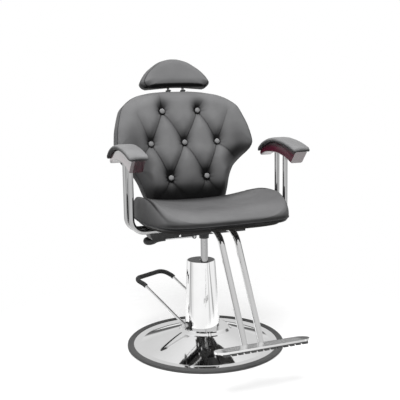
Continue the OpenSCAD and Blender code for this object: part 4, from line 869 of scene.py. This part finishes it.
def back_front(x, s, w):
    """n of the tufted front, and the painted shade at each place."""
    edge = line_distance(np.abs(x), s, BACK_LINE, BACK_COUNTS)
    edge = np.minimum(edge, np.minimum(w - np.abs(x), s * FOOT_ROLL))
    share = roll(edge, BACK_EDGE_R)
    tuft, near, pocket, slope, gathers = button_pull(x, s)
    valley, stitch = pleat_pull(x, s)
    stitch = stitch * np.clip((near - STITCH_FROM) / STITCH_OVER, 0, 1)
    depth = TUFT_DEPTH * tuft + VALLEY_DEPTH * valley * (1 - TUFT_OVER_VALLEY * tuft)
    depth = depth + STITCH_DEPTH * stitch + GATHER_DEPTH * gathers
    for fall, height in FOOT_FALLS:
        depth = depth + fall * sink(s, 0.0, height)
    puff = PUFF * np.clip(1 - tuft - valley, 0, 1)
    side = back_side(x, s)
    n = back_rear(x, s, w) + side + (back_full(s) - side) * share + (puff - depth) * share
    # painted shade: the notch under each wing, the hollow of the wing, a band by the edge, the
    # foot, the valleys, the slopes over the buttons and the gathers
    up = s / BACK_H
    notch = sink(edge, 0.0, 46.0) * bell(up - 0.4, 0.05)
    hollow = fade(np.abs(x) / BACK_HALF - 0.75, 0.15) * fade(up - 0.51, 0.12)
    band = fade(edge - 30.0, 17.0) * rise(s, 0.0, 30.0) * sink(up, 0.4, 0.52)
    foot = 1 - (1 - fade(s, 58.0, 3)) * (1 - FOOT_SHADE * sink(s, 0.0, 190.0))
    shade = np.maximum(foot, BAND_SHADE * band) + NOTCH_SHADE * notch + HOLLOW_SHADE * hollow
    shade = shade + VALLEY_SHADE * valley + SLOPE_SHADE * slope + GATHER_SHADE * gathers
    # and painted shade in the folds: the stitched lines, round each button, and the pocket over it
    painted_shade = STITCH_SHADE * stitch * (0.35 + 0.65 * share)
    painted_shade = painted_shade + BUTTON_SHADE * fade(near, 15.0, 6) + POCKET_SHADE * pocket
    return n, np.clip(painted_shade + shade, 0, 1)


def build_back():
    width = width_of(BACK_OUTLINE, BACK_HALF, BACK_H)
    q = np.linspace(-1, 1, BACK_POINTS)
    u = q * (1 + BACK_POINT_CROWDING - BACK_POINT_CROWDING * q * q)
    rings, painted_shades, front_edge, rear_edge = [], [], [], []
    for s in BACK_H * crowded(BACK_STEPS, BACK_CROWDING):
        w = float(width(s))
        x = u * w * BACK_IN
        up_s = np.full_like(x, s)
        n, painted_shade = back_front(x, up_s, w)
        inside = np.minimum(w - np.abs(x), np.minimum(s, BACK_H - s))
        n = n + BACK_SLACK * waves(x, n, up_s, seed=8, scale=0.045) * roll(inside, 60.0)
        side_n = float(back_rear(w, s, w))
        thick = float(back_side(w, s))
        tuck = min(BACK_TUCK, w / 3)
        # the side from rear to front, then the rear face from the side to the middle
        band = [
            (w - tuck, 0.0), (w - 0.4 * tuck, 0.06), (w, 0.24), (w + 0.6, 0.5), (w, 0.76),
            (w * 0.993, 0.93),
        ]
        band = [(a, side_n + part * thick) for a, part in band]
        flat = max(w / 2, w - WRAP_W)
        rear = [(w - tuck) * (1 - k) + flat * k for k in (0.25, 0.5, 0.75)]
        rear = [(a, float(back_rear(a, s, w))) for a in rear + [flat, flat * 0.6, flat * 0.2]]
        left = [(-a, b) for a, b in band[::-1] + rear]
        ring = band + list(zip(x[::-1], n[::-1])) + left + rear[::-1]
        rings.append(back_world([(a, b, BACK_LOW + s) for a, b in ring])[::-1])
        # painted shade on the front only
        ring_painted_shade = np.zeros(len(ring))
        ring_painted_shade[len(band): len(band) + len(x)] = painted_shade[::-1]
        painted_shades.append(ring_painted_shade[::-1])
        front_edge.append((w * BACK_LIP, float(n[-1]) + 0.4, BACK_LOW + s))
        rear_edge.append((w - tuck + 0.6, side_n + 1.0, BACK_LOW + s))
    cover("back_cushion_cover", rings, painted_shades, "backrest", "upholstery", "back_cushion")
    welts = {
        "back_front_welt": (front_edge, FRONT_WELT_R),
        "back_rear_welt": (rear_edge, REAR_WELT_R),
    }
    for name, (line, r) in welts.items():
        # every third ring will do, and the crowded ones at the ends are left out
        welt(name, back_world(mirrored(line[6:-3:3])), r * MM, "backrest")


def build_buttons():
    """Seven covered buttons; the first stands for the CAD node, which holds all seven."""
    out = (0, -math.cos(LEAN), math.sin(LEAN))
    dome = [(r * MM, h * MM) for r, h in BUTTON_DOME]
    for k, (bx, bs) in enumerate(BUTTONS):
        n = BACK_FACE + back_full(bs * BACK_H) - BUTTON_SINK
        seat = back_world([(bx * BACK_HALF, n, BACK_LOW + bs * BACK_H)])[0]
        button = turned(f"back_button_{k + 1}", dome, seat, out, "backrest", LOOKS["button"])
        put(button, "button", *([] if k else ["back_buttons"]))


# Headrest, in the backrest's axes, with s from its own foot

HEAD_HALF, HEAD_H, HEAD_HALF_T = 146.0, 119.0, 30.0
HEAD_LOW = BACK_LOW + BACK_H + 12.0
HEAD_N = BACK_FACE + 18.0
HEAD_LEAST, HEAD_SLACK, HEAD_THINNEST = 8.0, 0.5, 4.0
HEAD_STEPS, HEAD_CROWDING = 110, 0.85
# the domed front: share and radius of its edge and of its swell, and its thickness at the edge
# and of the dome in half thicknesses
HEAD_ROLLS = ((0.62, 30.0), (0.38, 80.0))
HEAD_EDGE_T, HEAD_DOME_T = 0.9, 1.1
# the foot rolls over as if it were so many times further away, and further by this much
HEAD_FOOT_COUNT, HEAD_FOOT_FAR = 2.4, 6.0
# the rear: its edges start this far in, with their radii and their depths in half thicknesses
HEAD_REAR_IN, HEAD_REAR_END_R, HEAD_REAR_SIDE_R = 6.0, 30.0, 26.0
HEAD_REAR_END_T, HEAD_REAR_SIDE_T = 0.35, 0.6
# the crease of the side panel, and the painted shade in it, on the front, at its seam and at its
# foot
HEAD_SIDE_SEAM, HEAD_CREASE_R, HEAD_CREASE = 11.0, 1.4, 0.7
HEAD_SHADE, HEAD_SEAM_SHADE, HEAD_LOW_SHADE = 0.1, 0.88, 0.2
# the front panel's lower seam and the underside: lowest height, and rise to the middle
HEAD_SEAM, HEAD_UNDER = (5.0, 3.0), (-2.0, 4.0)
HEAD_SEAM_DIP, HEAD_UNDER_REACH, HEAD_REAR_LIFT, HEAD_LIFT_REACH = 4.0, 50.0, 8.0, 30.0
HEAD_WELT_R, HEAD_WELT_IN, HEAD_WELT_T = 1.6, 0.4, 0.84
HEAD_OUTLINE = [
    (0, 0.83), (0.03, 0.905), (0.08, 0.96), (0.15, 0.995), (0.22, 0.99), (0.4, 0.9), (0.58, 0.77),
    (0.76, 0.58), (0.9, 0.39), (0.98, 0.17), (1, 0.05),
]
HEAD_LINE = outline_of(HEAD_OUTLINE, HEAD_HALF, HEAD_H, 60)


def build_headrest():
    width = width_of(HEAD_OUTLINE, HEAD_HALF, HEAD_H)
    rings, painted_shades, edge = [], [], []
    for s in HEAD_H * crowded(HEAD_STEPS, HEAD_CROWDING):
        w = max(float(width(s)), HEAD_LEAST)
        x = across(HEAD_STEPS) * w
        inside = w - np.abs(x)
        up_s = np.full_like(x, s)
        d = line_distance(np.abs(x), up_s, HEAD_LINE)
        d = np.minimum(d, s * HEAD_FOOT_COUNT + HEAD_FOOT_FAR)
        dome = sum(share * roll(d, r) for share, r in HEAD_ROLLS)
        front = HEAD_N + HEAD_HALF_T * HEAD_EDGE_T + HEAD_HALF_T * HEAD_DOME_T * dome
        front = front + HEAD_SLACK * waves(x, front, up_s, seed=5, scale=0.05) * dome
        # the front panel ends in a low seam, and the cover is drawn in below it
        arch = 1 - (x / HEAD_HALF)**2
        seam = HEAD_SEAM[0] + HEAD_SEAM[1] * arch
        front = front - HEAD_SEAM_DIP * sink(s, seam - 4.0, seam + 2.0) * dome
        ends = roll(min(s, HEAD_H - s) + HEAD_REAR_IN, HEAD_REAR_END_R)
        sides = roll(inside + HEAD_REAR_IN, HEAD_REAR_SIDE_R)
        rear = HEAD_N - HEAD_REAR_END_T * HEAD_HALF_T * (1 - ends)
        rear = rear + HEAD_HALF_T * HEAD_REAR_SIDE_T * (1 - sides)
        rear = np.minimum(rear, front - HEAD_THINNEST)
        under_rise = (HEAD_UNDER[0] + HEAD_UNDER[1] * arch) * sink(s, 0.0, HEAD_UNDER_REACH)
        up = HEAD_LOW + s + under_rise
        lift = HEAD_REAR_LIFT * sink(s, 0.0, HEAD_LIFT_REACH)
        up_rear = up + lift * roll(inside, HEAD_LIFT_REACH)
        ring = np.vstack([np.stack([x, front, up], 1)[::-1], np.stack([x, rear, up_rear], 1)[1:-1]])
        rings.append(back_world(ring)[::-1])
        # painted shade: in the side panel's crease, over the front, below its low seam and just
        # above it, and on the underside near the foot
        crease = bell(np.abs(inside - HEAD_SIDE_SEAM), HEAD_CREASE_R)
        shade = HEAD_SHADE + HEAD_SEAM_SHADE * sink(s, seam - 3.0, seam + 1.0)
        shade = shade + HEAD_LOW_SHADE * sink(s, seam, seam + 26.0)
        painted_shade = np.clip(crease * HEAD_CREASE + shade, 0, 1)
        under = np.full(len(x) - 2, float(sink(s, 0.0, 22.0)))
        painted_shades.append(np.concatenate([painted_shade[::-1], under])[::-1])
        edge.append((w - HEAD_WELT_IN, HEAD_N + HEAD_HALF_T * HEAD_WELT_T, HEAD_LOW + s))
    cover("headrest_cover", rings, painted_shades, "headrest", "upholstery", "headrest_cushion")
    # the welt ends at the lower corners, where the front panel's own seam takes over
    line = back_world(mirrored(edge[4:-4:2]))
    welt("headrest_welt", line, HEAD_WELT_R * MM, "headrest", closed=False)


# Armrests: shares of their outlines run from the rear end forward, and up from ARM_Z

ARM_X, ARM_W, ARM_L, ARM_RISE, ARM_Z, ARM_REAR_Y = 307.5, 48.0, 284.0, 71.0, 700.0, 92.0
ARM_CORNER_R, ARM_CORNER_SHARE, ARM_STEPS, SHARP_WOOD_EDGE = 6.0, 0.4, 72, math.radians(40)
PAD_W, PAD_T, PAD_END_R, PAD_OVERHANG, PAD_LIFT = 70.0, 17.0, 16.0, 4.0, 0.3
# the pad's ends: how much narrower on each side, and the share of the thickness that is left
PAD_NARROWER, PAD_END_T = 11.0, 0.4
# the pad's section: heights of its side and its dome, their powers, the place and width of the
# painted shade along the seam, and the foot
PAD_SIDE_T, PAD_DOME_T, PAD_SIDE_POWER, PAD_DOME_POWER = 0.32, 0.68, 0.5, 0.62
PAD_SEAM_AT, PAD_SEAM_R = 0.36, 0.03
PAD_FOOT = [(-0.985, 0.12), (-0.93, 0.0), (0.0, 0.0), (0.93, 0.0), (0.985, 0.12)]
ARM_TOP = [
    (0, 0.38), (0.113, 0.69), (0.289, 0.93), (0.482, 1), (0.658, 0.94), (0.834, 0.81), (1, 0.62),
]
ARM_UNDER = [
    (0.021, 0.155), (0.12, 0.31), (0.26, 0.394), (0.447, 0.408), (0.6, 0.338), (0.74, 0.197),
    (0.866, 0),
]


def arm_line(shares):
    """Points (y, z) along one edge of the wood."""
    p = spline(shares, ARM_STEPS)
    return np.stack([ARM_REAR_Y - p[:, 0] * ARM_L, ARM_Z + p[:, 1] * ARM_RISE], 1)


def wood_ring(mid_x, under, top):
    """Rounded rectangle that stands on the wood's lower edge and reaches its upper one."""
    up = top - under
    h = np.hypot(*up)
    up /= h
    q = min(ARM_CORNER_R, h * ARM_CORNER_SHARE)
    ring = []
    for cx, cz in ((1, -1), (1, 1), (-1, 1), (-1, -1)):
        for a in np.linspace(0, math.pi / 2, 7):
            turn = math.pi / 2 - a if cx * cz < 0 else a
            x = cx * (ARM_W / 2 - q + q * math.cos(turn))
            z = h / 2 + cz * (h / 2 - q + q * math.sin(turn))
            ring.append((mid_x + x, under[0] + up[0] * z, under[1] + up[1] * z))
    return np.array(ring) * MM


def pad_section(steps=40):
    """Section of the pad, in shares of its half width and thickness, with the painted shade along
    its seam.
    """
    section, painted_shade = [], []
    for k in range(steps + 1):
        a = math.pi * k / steps
        x = math.copysign(abs(math.cos(a))**PAD_SIDE_POWER, math.cos(a))
        z = PAD_SIDE_T + PAD_DOME_T * math.sin(a)**PAD_DOME_POWER
        section.append((x, z))
        painted_shade.append(bell(z - PAD_SEAM_AT, PAD_SEAM_R))
    return section + PAD_FOOT, np.array(painted_shade + [0.0] * len(PAD_FOOT))


def build_arm(side, name):
    mid_x = side * ARM_X
    top, under = arm_line(ARM_TOP), arm_line(ARM_UNDER)
    section, painted_shade = pad_section()
    wood, pad = [], []
    for i in range(ARM_STEPS + 1):
        wood.append(wood_ring(mid_x, under[i], top[i]))
        # the pad narrows and thins towards both ends, and hangs over them
        end = float(roll(min(i, ARM_STEPS - i) / ARM_STEPS * ARM_L + 4.0, PAD_END_R))
        w = PAD_W / 2 - PAD_NARROWER * (1 - end)
        t = PAD_T * (PAD_END_T + (1 - PAD_END_T) * end)
        y = top[i][0] + PAD_OVERHANG * ((i == 0) - (i == ARM_STEPS))
        z = top[i][1] + PAD_LIFT
        pad.append(np.array([(mid_x + a * w, y, z + b * t) for a, b in section]) * MM)
    ob = ring_skin(f"armrest_{name}_wood", wood, "seat", LOOKS["arm_wood"])
    ob.data.set_sharp_from_angle(angle=SHARP_WOOD_EDGE)
    put(ob, "arm_wood", f"armrest_{name}")
    painted_shades = [painted_shade] * len(pad)
    cover(f"arm_pad_{name}_cover", pad, painted_shades, "seat", "arm_pad", f"arm_pad_{name}")


studio_camera()
studio_floor()
studio_world()
for name, values in LAMPS.items():
    lamp(name, *values)
reshaped("base_cone", "base_plate", cone_height)
reshaped("rim_skin", "base_rim", lip_height)
build_seat()
build_back()
build_buttons()
build_headrest()
build_arm(-1, "left")
build_arm(1, "right")
